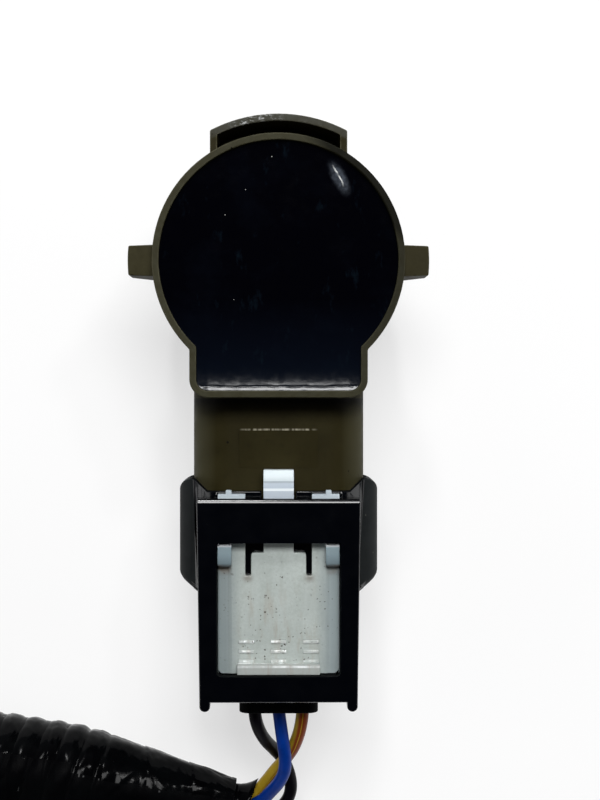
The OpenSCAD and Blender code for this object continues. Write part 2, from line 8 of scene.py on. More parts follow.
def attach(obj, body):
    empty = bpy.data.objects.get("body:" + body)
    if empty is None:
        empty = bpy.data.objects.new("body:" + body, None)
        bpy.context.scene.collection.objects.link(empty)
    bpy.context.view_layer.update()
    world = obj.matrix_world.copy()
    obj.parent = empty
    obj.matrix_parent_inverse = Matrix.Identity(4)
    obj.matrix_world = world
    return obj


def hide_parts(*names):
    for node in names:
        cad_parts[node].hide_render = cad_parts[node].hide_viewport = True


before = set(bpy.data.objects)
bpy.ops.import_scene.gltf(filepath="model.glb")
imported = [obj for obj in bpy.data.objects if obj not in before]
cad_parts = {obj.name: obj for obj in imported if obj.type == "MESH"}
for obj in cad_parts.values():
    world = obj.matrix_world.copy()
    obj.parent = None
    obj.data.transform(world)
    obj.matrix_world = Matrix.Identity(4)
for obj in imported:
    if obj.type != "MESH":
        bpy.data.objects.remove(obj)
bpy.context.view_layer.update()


# The view: the sensor lies with its sensing face on a pale table, seen from straight above. A large soft
# lamp stands past the head, two weak ones beside it, and two small ones draw the glints on the loom. The
# sky overhead is dark, so the flat resin stays black and only what leans towards a lamp lights up.
MM = 0.001
scene = bpy.context.scene
scene.view_settings.view_transform = "Standard"
eye = Vector((0.08, -14, 180)) * MM
aim = Vector((2.19, -14.41, 22)) * MM
camera_data = bpy.data.cameras.new("view")
camera_data.lens = 69.42
camera_data.sensor_width = 36
camera_data.clip_start = 0.01
camera = bpy.data.objects.new("view", camera_data)
scene.collection.objects.link(camera)
scene.camera = camera
backward = (eye - aim).normalized()
rightward = Vector((0, 1, 0)).cross(backward).normalized()
turn = Matrix((rightward, backward.cross(rightward), backward)).transposed().to_4x4()
camera.matrix_world = Matrix.Translation(eye) @ turn


def softbox(name, place, size, power):
    lamp = bpy.data.lights.new(name, "AREA")
    lamp.shape = "RECTANGLE"
    lamp.size, lamp.size_y = size
    lamp.energy = power
    box = bpy.data.objects.new(name, lamp)
    box.location = place
    target = Vector((0, -0.02, 0.01))
    box.rotation_euler = (Vector(place) - target).to_track_quat("Z", "Y").to_euler()
    scene.collection.objects.link(box)


softbox("lamp_head", (0.03, 0.20, 0.50), (0.30, 0.16), 2.3)
softbox("lamp_far", (-0.03, 0.44, 0.36), (0.05, 0.08), 0.8)
softbox("lamp_side", (0.22, 0.26, 0.46), (0.05, 0.05), 0.3)
softbox("lamp_left", (-0.50, -0.06, 0.26), (0.30, 0.30), 0.4)
softbox("lamp_right", (0.50, -0.06, 0.26), (0.30, 0.30), 0.4)


def part(group, kind, inputs=None, **settings):
    made = group.nodes.new(kind)
    for key, value in settings.items():
        setattr(made, key, value)
    for key, value in (inputs or {}).items():
        if isinstance(value, bpy.types.NodeSocket):
            group.links.new(value, made.inputs[key])
        else:
            made.inputs[key].default_value = value
    return made


def step(tree, kind, inputs=None, **settings):
    return part(tree, "ShaderNode" + kind, inputs, **settings)


world = bpy.data.worlds.new("studio")
world.use_nodes = True
scene.world = world
sky = world.node_tree
heading = step(sky, "TexCoord").outputs["Generated"]
height = step(sky, "SeparateXYZ", {0: heading}).outputs["Z"]
fade = step(sky, "ValToRGB", {0: height})
fade.color_ramp.elements[0].position = 0.25
fade.color_ramp.elements[0].color = (0.80, 0.82, 0.84, 1)
fade.color_ramp.elements[1].position = 0.72
fade.color_ramp.elements[1].color = (0.03, 0.03, 0.035, 1)
sky.links.new(fade.outputs[0], sky.nodes["Background"].inputs["Color"])
sky.nodes["Background"].inputs["Strength"].default_value = 0.35


def paint(red, green, blue):
    def linear(c):
        c /= 255
        return c / 12.92 if c <= 0.04045 else ((c + 0.055) / 1.055) ** 2.4
    return linear(red), linear(green), linear(blue), 1


def finish(name, rough, metal=0.0, shine=0.5):
    made = bpy.data.materials.new(name)
    made.use_nodes = True
    shader = made.node_tree.nodes["Principled BSDF"]
    shader.inputs["Roughness"].default_value = rough
    shader.inputs["Metallic"].default_value = metal
    shader.inputs["Specular IOR Level"].default_value = shine
    return made, made.node_tree, shader


def cloud(tree, where, scale, detail=3.0, rough=0.5):
    sockets = {"Vector": where, "Scale": scale, "Detail": detail, "Roughness": rough}
    return step(tree, "TexNoise", sockets).outputs["Fac"]


def mixed(tree, share, first, second):
    return step(tree, "Mix", {"Factor": share, 6: first, 7: second}, data_type="RGBA").outputs[2]


def calc(tree, what, first, second=0.0):
    return step(tree, "Math", {0: first, 1: second}, operation=what).outputs[0]


def object_place(tree):
    return step(tree, "TexCoord").outputs["Object"]


table, tree, shader = finish("table_white", 0.85)
where = object_place(tree)
tone = mixed(tree, cloud(tree, where, 9), paint(247, 247, 247), paint(251, 251, 251))
tree.links.new(tone, shader.inputs["Base Color"])
seen_by = step(tree, "LightPath").outputs
mirrored = calc(tree, "MAXIMUM", seen_by["Is Glossy Ray"], seen_by["Is Transmission Ray"])
looked_at = calc(tree, "MAXIMUM", seen_by["Is Camera Ray"], mirrored)
glow = step(tree, "Emission", {"Color": (1, 1, 1, 1), "Strength": 1.0}).outputs[0]
pale = step(tree, "MixShader", {0: calc(tree, "MULTIPLY", looked_at, 0.6), 1: shader.outputs[0], 2: glow})
tree.links.new(pale.outputs[0], tree.nodes["Material Output"].inputs["Surface"])
TABLE_HALF, TABLE_TOP = 1.6, -0.02 * MM
floor_mesh = bpy.data.meshes.new("table")
corners = [(x * TABLE_HALF, y * TABLE_HALF, TABLE_TOP) for x, y in ((-1, -1), (1, -1), (1, 1), (-1, 1))]
floor_mesh.from_pydata(corners, [], [(0, 1, 2, 3)])
floor_mesh.materials.append(table)
floor = bpy.data.objects.new("table", floor_mesh)
scene.collection.objects.link(floor)


# Sensor housing: head, snap lugs, latch loop and socket neck in one injection moulding of olive-drab
# glass-filled plastic. It is the carrier of everything else, and its rubbed edges have gone paler.
CREASE = math.radians(34)


def rounded_copy(node, name, edge, steps=2, hollows=True, special=(), inward=(), reshape=None):
    copy = bpy.data.objects.new(name + "_raw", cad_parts[node].data.copy())
    scene.collection.objects.link(copy)
    shape = bmesh.new()
    shape.from_mesh(copy.data)
    bmesh.ops.remove_doubles(shape, verts=shape.verts, dist=0.002 * MM)
    bmesh.ops.dissolve_limit(shape, angle_limit=math.radians(0.4), verts=shape.verts, edges=shape.edges)
    if reshape:
        reshape(shape)
    widest = max([edge] + [size for low, high, size in (*special, *inward)])
    weight = shape.edges.layers.float.new("bevel_weight_edge")
    for line in shape.edges:
        if len(line.link_faces) != 2 or line.calc_face_angle(0) < CREASE:
            continue
        outward = hollows or line.is_convex
        width = edge if outward else 0.0
        for low, high, size in special if outward else inward:
            if all(low[k] * MM <= v.co[k] <= high[k] * MM for v in line.verts for k in range(3)):
                width = size
        line[weight] = width / widest
        line.smooth = width > 0
    for face in shape.faces:
        face.smooth = True
        face.material_index = 0
    shape.to_mesh(copy.data)
    shape.free()
    copy.data.materials.clear()
    for slot_name in ("face", "edge"):
        copy.data.materials.append(bpy.data.materials.new(name + "_" + slot_name))
    soften = copy.modifiers.new("soften", "BEVEL")
    soften.width = widest
    soften.segments = steps
    soften.limit_method = "WEIGHT"
    soften.use_clamp_overlap = False
    soften.material = 1
    weigh = copy.modifiers.new("weigh", "WEIGHTED_NORMAL")
    weigh.keep_sharp = True
    graph = bpy.context.evaluated_depsgraph_get()
    mesh = bpy.data.meshes.new_from_object(copy.evaluated_get(graph), depsgraph=graph)
    mesh.name = name
    near = [1.0] * len(mesh.vertices)
    for polygon in mesh.polygons:
        if polygon.material_index == 0:
            for v in polygon.vertices:
                near[v] = 0.0
        polygon.material_index = 0
    mesh.materials.clear()
    mesh.attributes.new("rubbed", "FLOAT", "POINT").data.foreach_set("value", near)
    piece = bpy.data.objects.new(name, mesh)
    scene.collection.objects.link(piece)
    bpy.data.objects.remove(copy)
    return piece


def settle(piece, node):
    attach(piece, "root")
    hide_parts(node)


def ramp(tree, value, low, high, start=0.0, end=1.0):
    sockets = {"Value": value, "From Min": low, "From Max": high, "To Min": start, "To Max": end}
    return step(tree, "MapRange", sockets).outputs["Result"]


def band(tree, value, low, high, start=0.0, end=1.0):
    # a ramp between two places given in millimetres
    return ramp(tree, value, low * MM, high * MM, start, end)


def both(tree, share, *others):
    for other in others:
        share = calc(tree, "MULTIPLY", share, other)
    return share


def coated(tree, tone, colour, *shares):
    # a colour laid over the tone as far as the product of the shares says
    return mixed(tree, both(tree, *shares), tone, paint(*colour))


def apart(tree, across, along):
    squares = calc(tree, "ADD", both(tree, across, across), both(tree, along, along))
    return calc(tree, "SQRT", squares)


def attribute(tree, name):
    return step(tree, "Attribute", attribute_name=name).outputs["Fac"]


def scaled(tree, where, *scale):
    return step(tree, "Mapping", {"Vector": where, "Scale": scale}).outputs[0]


def grain(tree, shader, height, strength, depth):
    bump = step(tree, "Bump", {"Height": height, "Strength": strength, "Distance": depth})
    tree.links.new(bump.outputs["Normal"], shader.inputs["Normal"])


olive, tree, shader = finish("olive_moulding", 0.5, shine=0.045)
where = object_place(tree)
x, y, z = step(tree, "SeparateXYZ", {0: where}).outputs
off_middle = calc(tree, "ABSOLUTE", x)
tone = mixed(tree, ramp(tree, cloud(tree, where, 260, 4), 0.35, 0.68), paint(37, 33, 15), paint(43, 39, 20))
tone = coated(tree, tone, (30, 27, 14), ramp(tree, cloud(tree, where, 1500, 2), 0.55, 0.8, 0, 0.35))
worn = ramp(tree, cloud(tree, where, 900, 3), 0.35, 0.7, 0.15, 0.6)
tone = coated(tree, tone, (96, 93, 74), attribute(tree, "rubbed"), worn)
# pale scuffs on the curved bar of the loop
on_bar = both(
    tree, band(tree, apart(tree, x, y), 14.45, 14.65), band(tree, z, 19.0, 19.4), band(tree, y, 12.4, 13.4))
mottle = ramp(tree, cloud(tree, where, 1400, 4, 0.6), 0.3, 0.7, 0.3, 0.6)
tone = coated(tree, tone, (82, 83, 78), on_bar, mottle)
flecks = ramp(tree, cloud(tree, scaled(tree, where, 0.7, 1.6, 1.0), 2600, 5, 0.7), 0.52, 0.64)
along_bar = both(tree, band(tree, x, -5.4, -3.6), band(tree, x, 0.8, -1.6))
tone = coated(tree, tone, (190, 192, 192), flecks, along_bar, on_bar, 0.9)
# painted light on the rounded sides of the neck, a painted shadow in its corner under the head, and a painted
# highlight in broken dashes along the front edge of the latch pad
on_neck = both(tree, band(tree, y, -14.1, -14.3), band(tree, z, 19, 18.5))
tone = coated(tree, tone, (74, 72, 54), band(tree, off_middle, 6.6, 8.6), on_neck, 0.6)
# painted shadow: the neck darkened where the head's rim overhangs it
tone = coated(tree, tone, (3, 3, 3), on_neck, band(tree, y, -16.4, -14.6), 0.9)
# painted highlight: broken pale dashes along the latch pad's front edge
pad_edge_glint = both(
    tree, band(tree, y, -17.63, -17.62), band(tree, off_middle, 4.2, 3.2), band(tree, y, -17.4, -17.5))
dashes = ramp(tree, cloud(tree, step(tree, "CombineXYZ", {"X": x}).outputs[0], 1900, 3, 0.6), 0.42, 0.55)
tone = coated(tree, tone, (196, 190, 168), pad_edge_glint, dashes, 0.5)
# the rim and the lugs are paler on top, the left lug more than the right; the right side of the rim top is
# painted darker, as painted shade
tone = coated(tree, tone, (66, 66, 54), band(tree, z, 21.8, 21.95), mottle)
far_right = calc(tree, "ADD", both(tree, x, 0.766), both(tree, y, 0.643))
rim_painted_shade = calc(tree, "MAXIMUM", band(tree, far_right, 9.9, 11.4, 0, 0.9), band(tree, x, 7, 11, 0, 0.45))
tone = coated(tree, tone, (8, 8, 3), rim_painted_shade, band(tree, z, 21.6, 21.8))
on_lug = both(tree, band(tree, off_middle, 12.9, 13.1), band(tree, z, 20.3, 20.45))
lug_tone = mixed(tree, band(tree, x, -1.0, 1.0), paint(62, 59, 42), paint(54, 51, 35))
tone = mixed(tree, both(tree, on_lug, mottle), tone, lug_tone)
# dark specks all over
motes = step(tree, "TexVoronoi", {"Vector": where, "Scale": 520.0}).outputs["Distance"]
tone = coated(tree, tone, (12, 11, 8), ramp(tree, motes, 0.075, 0.05))
tree.links.new(tone, shader.inputs["Base Color"])
tree.links.new(ramp(tree, cloud(tree, where, 700, 3), 0.3, 0.7, 0.46, 0.6), shader.inputs["Roughness"])
grain(tree, shader, cloud(tree, where, 7000, 2), 0.25, 0.03 * MM)
PAD_TOP, PAD_REAR, PAD_HALF = 17.65, -21.57, 4.3
PAD_SINK = 0.22
pad_sides = ((-4.2, -21.7, 17.3), (4.2, -17.5, 17.8), 0.0)
pad_front = ((-4.2, -17.6, 17.6), (4.2, -17.5, 17.7), 0.06 * MM)


def sink_pad(shape):
    # the latch pad runs out level with the neck at its rear end
    for v in shape.verts:
        at_rear = abs(v.co.y - PAD_REAR * MM) < 0.05 * MM and abs(v.co.x) < PAD_HALF * MM
        if at_rear and abs(v.co.z - PAD_TOP * MM) < 0.02 * MM:
            v.co.z -= PAD_SINK * MM


housing = rounded_copy(
    "sensor_housing", "housing", 0.14 * MM, 3, special=[pad_sides, pad_front], reshape=sink_pad)
housing.data.materials.append(olive)
settle(housing, "sensor_housing")


# Transducer cup: a deep-drawn aluminium can with a thick front, the part that rings. Its front is
# turned flat and clear-coated, and it is pressed into the rubber ring.
cup_metal, tree, shader = finish("cup_aluminium", 0.34, 1.0)
where = object_place(tree)
x, y, z = step(tree, "SeparateXYZ", {0: where}).outputs
turning = calc(tree, "SINE", both(tree, apart(tree, x, y), 42000.0))
tone = mixed(tree, cloud(tree, where, 350, 4), paint(158, 160, 163), paint(186, 188, 190))
tree.links.new(tone, shader.inputs["Base Color"])
tree.links.new(ramp(tree, cloud(tree, where, 900, 3), 0.3, 0.7, 0.28, 0.42), shader.inputs["Roughness"])
grain(tree, shader, turning, 0.1, 0.01 * MM)
cup = rounded_copy("transducer_cup", "cup", 0.25 * MM, 3)
cup.data.materials.append(cup_metal)
settle(cup, "transducer_cup")


# Decoupling ring: a moulded grey silicone sleeve that keeps the cup's ringing out of the housing.
# It stands a little proud of the barrel, and is held by its own grip.
silicone, tree, shader = finish("grey_silicone", 0.6)
where = object_place(tree)
tone = mixed(tree, cloud(tree, where, 420, 4), paint(52, 54, 56), paint(66, 68, 70))
tree.links.new(tone, shader.inputs["Base Color"])
grain(tree, shader, cloud(tree, where, 5200, 2), 0.2, 0.03 * MM)
ring = rounded_copy("decoupling_ring", "decoupling_ring_soft", 0.18 * MM, 3)
ring.data.materials.append(silicone)
settle(ring, "decoupling_ring")


# Inside the cup: the piezo disc cemented to the cup's floor, the foam pad behind it that kills the
# back wave, and the two copper leads up to the board. All of it is closed in and keeps its CAD shape.
def dress(material, *nodes):
    for name in nodes:
        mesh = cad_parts[name].data
        mesh.materials.clear()
        mesh.materials.append(material)


def inner_finish(name, first, second, scale, rough, metal=0.0, depth=0.02):
    made, tree, shader = finish(name, rough, metal)
    where = object_place(tree)
    speckle = cloud(tree, where, scale, 4)
    tone = mixed(tree, ramp(tree, speckle, 0.3, 0.7), paint(*first), paint(*second))
    tree.links.new(tone, shader.inputs["Base Color"])
    grain(tree, shader, speckle, 0.3, depth * MM)
    return made


dress(inner_finish("piezo_ceramic", (196, 188, 164), (212, 205, 184), 2400, 0.55), "piezo_disc")
dress(inner_finish("damping_foam", (58, 58, 60), (82, 82, 84), 3200, 0.9, depth=0.15), "damping_pad")
copper = inner_finish("bare_copper", (184, 112, 70), (202, 132, 88), 1800, 0.3, 1.0)
dress(copper, "signal_lead", "ground_lead")


# Circuit board: a green glass-epoxy board on four moulded posts, with the control chip, the drive
# transformer and two ceramic capacitors soldered on, and the three plug pins pressed through it.
dress(inner_finish("board_laminate", (18, 66, 38), (26, 82, 48), 1300, 0.4), "circuit_board")
dress(inner_finish("chip_epoxy", (20, 21, 22), (32, 33, 34), 3000, 0.55), "control_chip")
dress(inner_finish("coil_winding", (150, 96, 50), (176, 118, 66), 5200, 0.35, 0.6), "transformer")
dress(inner_finish("capacitor_ceramic", (176, 150, 110), (196, 172, 132), 2600, 0.5), "capacitors")
pin_metal = inner_finish("tinned_pin", (176, 170, 150), (200, 196, 180), 2200, 0.28, 1.0)
dress(pin_metal, "contact_pin_left", "contact_pin_middle", "contact_pin_right")


# Potting: black two-part resin poured into the well until it covers the board. It sinks a little as it
# cures, creeps up the wall all round, and along the box's lower wall it has set in an uneven seam.
WELL_R = 12.3
WELL_HALF = 8.45
WELL_LOW = -13.45
WELL_CORNER = 1.15
POUR_TOP = 21.43
POUR_FOOT = 19.75
CREEP = 0.03
CREEP_REACH = 0.2
CORNER_STEPS = 8


def well_corner(x, y, start):
    angles = [start + math.pi / 2 * i / CORNER_STEPS for i in range(CORNER_STEPS + 1)]
    return [Vector((x + WELL_CORNER * math.cos(a), y + WELL_CORNER * math.sin(a))) for a in angles]


def well_outline(gap=0.2):
    meet = math.atan2(-math.sqrt(WELL_R ** 2 - WELL_HALF ** 2), WELL_HALF)
    sweep = math.pi - 2 * meet
    count = int(WELL_R * sweep / gap)
    line = [Vector((WELL_R * math.cos(meet + sweep * i / count), WELL_R * math.sin(meet + sweep * i / count)))
            for i in range(count)]
    side_top = line[0].y
    corner_y = WELL_LOW + WELL_CORNER
    corner_x = WELL_HALF - WELL_CORNER
    fall = int((side_top - corner_y) / gap)
    line += [Vector((-WELL_HALF, side_top + (corner_y - side_top) * i / fall)) for i in range(fall)]
    line += well_corner(-corner_x, corner_y, math.pi)
    across = int(2 * corner_x / gap)
    line += [Vector((-corner_x + 2 * corner_x * i / across, WELL_LOW)) for i in range(1, across)]
    line += well_corner(corner_x, corner_y, 1.5 * math.pi)
    line += [Vector((WELL_HALF, corner_y + (side_top - corner_y) * i / fall)) for i in range(1, fall)]
    return line


def clamped(share):
    return max(0.0, min(1.0, share))


def waver(*place):
    return noise.noise(Vector(place))


def pour_height(p, inset):
    rise = 0.02 * waver(p.x * 0.16, p.y * 0.16, 3.1)
    # along the lower wall the resin climbs in a long curve, with one ragged crack just off the wall
    off_wall = p.y - WELL_LOW
    share = clamped((8.4 - abs(p.x)) / 1.3)
    wander = 0.42 + 0.09 * waver(p.x * 0.9, 0.7, 0) + 0.06 * waver(p.x * 3.1, 4.2, 0)
    crack = math.exp(-((off_wall - wander) / 0.065) ** 2) * (0.7 + 0.5 * waver(p.x * 1.3, 8.6, 0))
    ragged = waver(p.x * 1.7, off_wall * 2.6, 5.0) + 0.7 * waver(p.x * 4.4, off_wall * 5, 1.0)
    climb = 0.21 * math.exp(-off_wall / 0.72) - 0.12 * crack + 0.016 * ragged * math.exp(-off_wall / 0.6)
    creep = CREEP * math.exp(-inset / CREEP_REACH)
    near_low = share * clamped(3.0 - off_wall)
    return POUR_TOP + rise + share * climb + (1 - near_low) * creep


outline = well_outline()
total = len(outline)
inward = []
for i in range(total):
    along = (outline[(i + 1) % total] - outline[i - 1]).normalized()
    inward.append(Vector((-along.y, along.x)))
insets = [0.0, 0.04, 0.09, 0.15, 0.21, 0.26, 0.30, 0.34, 0.38, 0.42,
          0.46, 0.50, 0.54, 0.58, 0.64, 0.72, 0.82, 0.94, 1.08]
points, rings = [], []
for inset in insets:
    rings.append(len(points))
    for p, n in zip(outline, inward):
        q = p + n * inset
        points.append((q.x, q.y, pour_height(q, inset)))
inner_line = [p + n * insets[-1] for p, n in zip(outline, inward)]
centre = Vector((0, -0.5))
SHRINKS, SHRINK_SPAN = 40, 11
for k in range(1, SHRINKS):
    rings.append(len(points))
    keep = 1 - (k / SHRINKS) ** 1.02
    for p in inner_line:
        q = centre + (p - centre) * keep
        points.append((q.x, q.y, pour_height(q, insets[-1] + (1 - keep) * SHRINK_SPAN)))
middle = len(points)
points.append((centre.x, centre.y, pour_height(centre, insets[-1] + SHRINK_SPAN)))
foot_ring = len(points)
points += [(p.x, p.y, POUR_FOOT) for p in outline]
foot_middle = len(points)
points.append((centre.x, centre.y, POUR_FOOT))
faces = []
for outer, nearer in zip(rings, rings[1:]):
    for i in range(total):
        j = (i + 1) % total
        faces.append((outer + i, outer + j, nearer + j, nearer + i))
for i in range(total):
    j = (i + 1) % total
    faces.append((rings[-1] + i, rings[-1] + j, middle))
    faces.append((foot_ring + i, foot_ring + j, rings[0] + j, rings[0] + i))
    faces.append((foot_ring + j, foot_ring + i, foot_middle))


def solid_piece(name, points, faces):
    mesh = bpy.data.meshes.new(name)
    mesh.from_pydata([Vector(p) * MM for p in points], [], faces)
    mesh.update()
    for polygon in mesh.polygons:
        polygon.use_smooth = True
    piece = bpy.data.objects.new(name, mesh)
    scene.collection.objects.link(piece)
    return piece


resin, tree, shader = finish("black_resin", 0.06)
where = object_place(tree)
x, y, z = step(tree, "SeparateXYZ", {0: where}).outputs
haze = ramp(tree, cloud(tree, where, 190, 5, 0.65), 0.5, 0.8)
tone = mixed(tree, both(tree, haze, 0.3), paint(1, 1, 4), paint(9, 14, 22))
# painted reflection: a faint bluish sheen on the resin towards the lower wall
tone = coated(tree, tone, (40, 56, 78), band(tree, y, -4.0, -12.9), 0.08)
# wipe smears, painted with a bluish sheen that stands for reflected light
smears_and_sheen = ramp(tree, cloud(tree, scaled(tree, where, 1.0, 0.4, 1.0), 620, 5, 0.7), 0.6, 0.78)
tone = coated(tree, tone, (16, 28, 36), smears_and_sheen, 0.5)
# a painted highlight near the upper right: one bright line, broken in the middle, in a soft pale patch of
# painted sheen that is also rougher
GLINT_X, GLINT_Y = 6.1 * MM, 8.65 * MM
GLINT_LEAN, GLINT_FALL = 0.47, 0.883
from_x, from_y = calc(tree, "SUBTRACT", x, GLINT_X), calc(tree, "SUBTRACT", y, GLINT_Y)
along = calc(tree, "ADD", both(tree, from_x, GLINT_LEAN), both(tree, from_y, -GLINT_FALL))
aside = calc(tree, "ADD", both(tree, from_x, GLINT_FALL), both(tree, from_y, GLINT_LEAN))
wander = both(tree, calc(tree, "SUBTRACT", cloud(tree, where, 900, 2), 0.5), 0.5 * MM)
aside = calc(tree, "ADD", aside, wander)
patch_along = calc(tree, "DIVIDE", calc(tree, "SUBTRACT", along, 0.3 * MM), 3.0 * MM)
patch_aside = calc(tree, "DIVIDE", aside, 1.2 * MM)
spread = calc(tree, "ADD", both(tree, patch_along, patch_along), both(tree, patch_aside, patch_aside))
fading = {"Value": spread, "From Min": 1.0, "From Max": 0.0}
dull = step(tree, "MapRange", fading, interpolation_type="SMOOTHSTEP").outputs["Result"]
uneven = ramp(tree, cloud(tree, where, 2200, 4, 0.6), 0.36, 0.62, 0.35, 1.0)
sheen_patch = both(tree, calc(tree, "POWER", dull, 5.0), uneven)
tone = coated(tree, tone, (108, 116, 128), sheen_patch, 0.4)
off_line, off_centre = calc(tree, "ABSOLUTE", aside), calc(tree, "ABSOLUTE", along)
on_line = both(tree, band(tree, off_line, 0.1, 0.03), band(tree, off_centre, 1.3, 0.5))
off_break = calc(tree, "ABSOLUTE", calc(tree, "ADD", along, 0.12 * MM))
tone = coated(tree, tone, (212, 214, 212), on_line, band(tree, off_break, 0.06, 0.3, 0.2, 0.95))
# five grains of dust
for at_x, at_y, r in ((-0.7, 10.6, 0.07), (-3.4, 7.2, 0.06), (-5.5, 4.6, 0.06),
                      (-4.6, -4.1, 0.05), (10.4, 7.7, 0.05)):
    off_grain = apart(tree, calc(tree, "SUBTRACT", x, at_x * MM), calc(tree, "SUBTRACT", y, at_y * MM))
    tone = coated(tree, tone, (150, 150, 146), band(tree, off_grain, r, 0.6 * r))
tree.links.new(tone, shader.inputs["Base Color"])
# wiped nearly clear, rougher in the patch of painted sheen and along the lower wall
wiped = ramp(tree, cloud(tree, where, 420, 4, 0.6), 0.5, 0.8, 0.04, 0.08)
wiped = calc(tree, "ADD", wiped, both(tree, sheen_patch, 0.03))
ragged = ramp(tree, cloud(tree, where, 1300, 4, 0.7), 0.35, 0.65, 0.1, 0.2)
wiped = calc(tree, "ADD", wiped, both(tree, band(tree, y, -10.8, -12.6), ragged))
tree.links.new(wiped, shader.inputs["Roughness"])
grain(tree, shader, cloud(tree, where, 240, 3), 0.05, 0.1 * MM)
pour = solid_piece("potting_pour", points, faces)
pour.data.materials.append(resin)
settle(pour, "potting")


# Interface seal: a ribbed silicone band on the plug's core that seals against the neck's socket.
# It is closed in by the hood.
dress(inner_finish("seal_silicone", (40, 66, 118), (52, 80, 134), 1500, 0.6), "interface_seal")


# Plug: a black polyamide moulding. The hood that slides over the neck is eroded to a dull dark grey,
# while the guard frame round the lock window and the body behind it are polished and nearly black.
hood_skin, tree, shader = finish("hood_matt", 0.6, shine=0.05)
where = object_place(tree)
tone = mixed(tree, ramp(tree, cloud(tree, where, 500, 4), 0.35, 0.7), paint(20, 23, 24), paint(26, 29, 30))
worn = ramp(tree, cloud(tree, where, 800, 3), 0.4, 0.7, 0.05, 0.5)
tone = coated(tree, tone, (66, 70, 72), attribute(tree, "rubbed"), worn)
motes = step(tree, "TexVoronoi", {"Vector": where, "Scale": 700.0}).outputs["Distance"]
tone = coated(tree, tone, (110, 110, 104), ramp(tree, motes, 0.07, 0.04, 0, 0.5))
tree.links.new(tone, shader.inputs["Base Color"])
grain(tree, shader, cloud(tree, where, 9000, 2), 0.35, 0.03 * MM)

guard_skin, tree, shader = finish("guard_gloss", 0.12)
where = object_place(tree)
rubbed = attribute(tree, "rubbed")
tone = mixed(tree, ramp(tree, cloud(tree, where, 420, 4), 0.4, 0.75), paint(1, 2, 5), paint(3, 4, 7))
tone = coated(tree, tone, (70, 74, 78), rubbed, ramp(tree, cloud(tree, where, 1100, 4), 0.5, 0.75, 0.0, 0.4))
slanted = {"Vector": where, "Rotation": (0, 0, 0.5), "Scale": (1, 9, 1)}
scratches = ramp(
    tree, cloud(tree, step(tree, "Mapping", slanted).outputs[0], 900, 3, 0.6), 0.72, 0.76, 0, 0.2)
tone = coated(tree, tone, (46, 48, 50), scratches)
tree.links.new(tone, shader.inputs["Base Color"])
edge_wear = both(tree, rubbed, ramp(tree, cloud(tree, where, 900, 3), 0.35, 0.65, 0.02, 0.16))
polish = ramp(tree, cloud(tree, where, 600, 4), 0.3, 0.7, 0.09, 0.14)
tree.links.new(calc(tree, "ADD", polish, edge_wear), shader.inputs["Roughness"])
grain(tree, shader, cloud(tree, where, 3500, 2), 0.06, 0.03 * MM)

pocket_skin, tree, shader = finish("pocket_dull", 0.7, shine=0.05)
where = object_place(tree)
tone = mixed(tree, ramp(tree, cloud(tree, where, 700, 4), 0.35, 0.7), paint(1, 2, 3), paint(5, 6, 8))
tree.links.new(tone, shader.inputs["Base Color"])
grain(tree, shader, cloud(tree, where, 6000, 2), 0.3, 0.03 * MM)

GUARD_TOP, GUARD_FRONT = 21.4, -24.6
GUARD_FOLDS, GUARD_DROP = ((0.52, 0.0), (0.24, 0.072)), 0.24
window_edge = ((-6.5, -43, 21.4), (6.5, -29, 21.6), 0.0)


def lean_front(shape):
    # the last half millimetre of the guard's top falls away to the front edge in two slopes
    for back, drop in GUARD_FOLDS:
        top = [f for f in shape.faces if f.normal.z > 0.9 and f.calc_center_median().z > GUARD_TOP * MM]
        parts = list({e for f in top for e in f.edges}) + list({v for f in top for v in f.verts}) + top
        fold = (0, (GUARD_FRONT - back) * MM, 0)
        cut = bmesh.ops.bisect_plane(shape, geom=parts, plane_co=fold, plane_no=(0, 1, 0))["geom_cut"]
        for item in cut:
            if isinstance(item, bmesh.types.BMEdge):
                item.smooth = False
            else:
                item.co.z -= drop * MM
    for v in shape.verts:
        if v.co.z > GUARD_TOP * MM and v.co.y > (GUARD_FRONT - 0.01) * MM:
            v.co.z -= GUARD_DROP * MM


# the rear corners of the hood's ears are rounder than its other edges
EAR_IN, EAR_OUT = 8.95, 10.7
ear_ends = [((low, -34.35, 8.3), (high, -33.2, 17.3), 0.55 * MM)
            for low, high in ((-EAR_OUT, -EAR_IN), (EAR_IN, EAR_OUT))]
plug = rounded_copy("plug_housing", "plug", 0.14 * MM, 3, hollows=False, special=[window_edge] + ear_ends,
                    reshape=lean_front)
for skin in (hood_skin, guard_skin, pocket_skin):
    plug.data.materials.append(skin)
HOOD, GUARD, POCKET = range(3)
for polygon in plug.data.polygons:
    at, faces_to = polygon.center / MM, polygon.normal
    on_hood = at.z < 18.95 and at.y > -34.36 and (abs(at.x) > 8.8 or at.z < 16)
    in_window = abs(at.x) < 6.6 and -43 < at.y < -24.7 and at.z > 18.4 and abs(faces_to.z) < 0.5
    in_notch = faces_to.y > 0.4 and at.y > -24.2 and at.z > 13 and abs(at.x) < 9.3
    polygon.material_index = POCKET if in_window or in_notch else HOOD if on_hood else GUARD
settle(plug, "plug_housing")


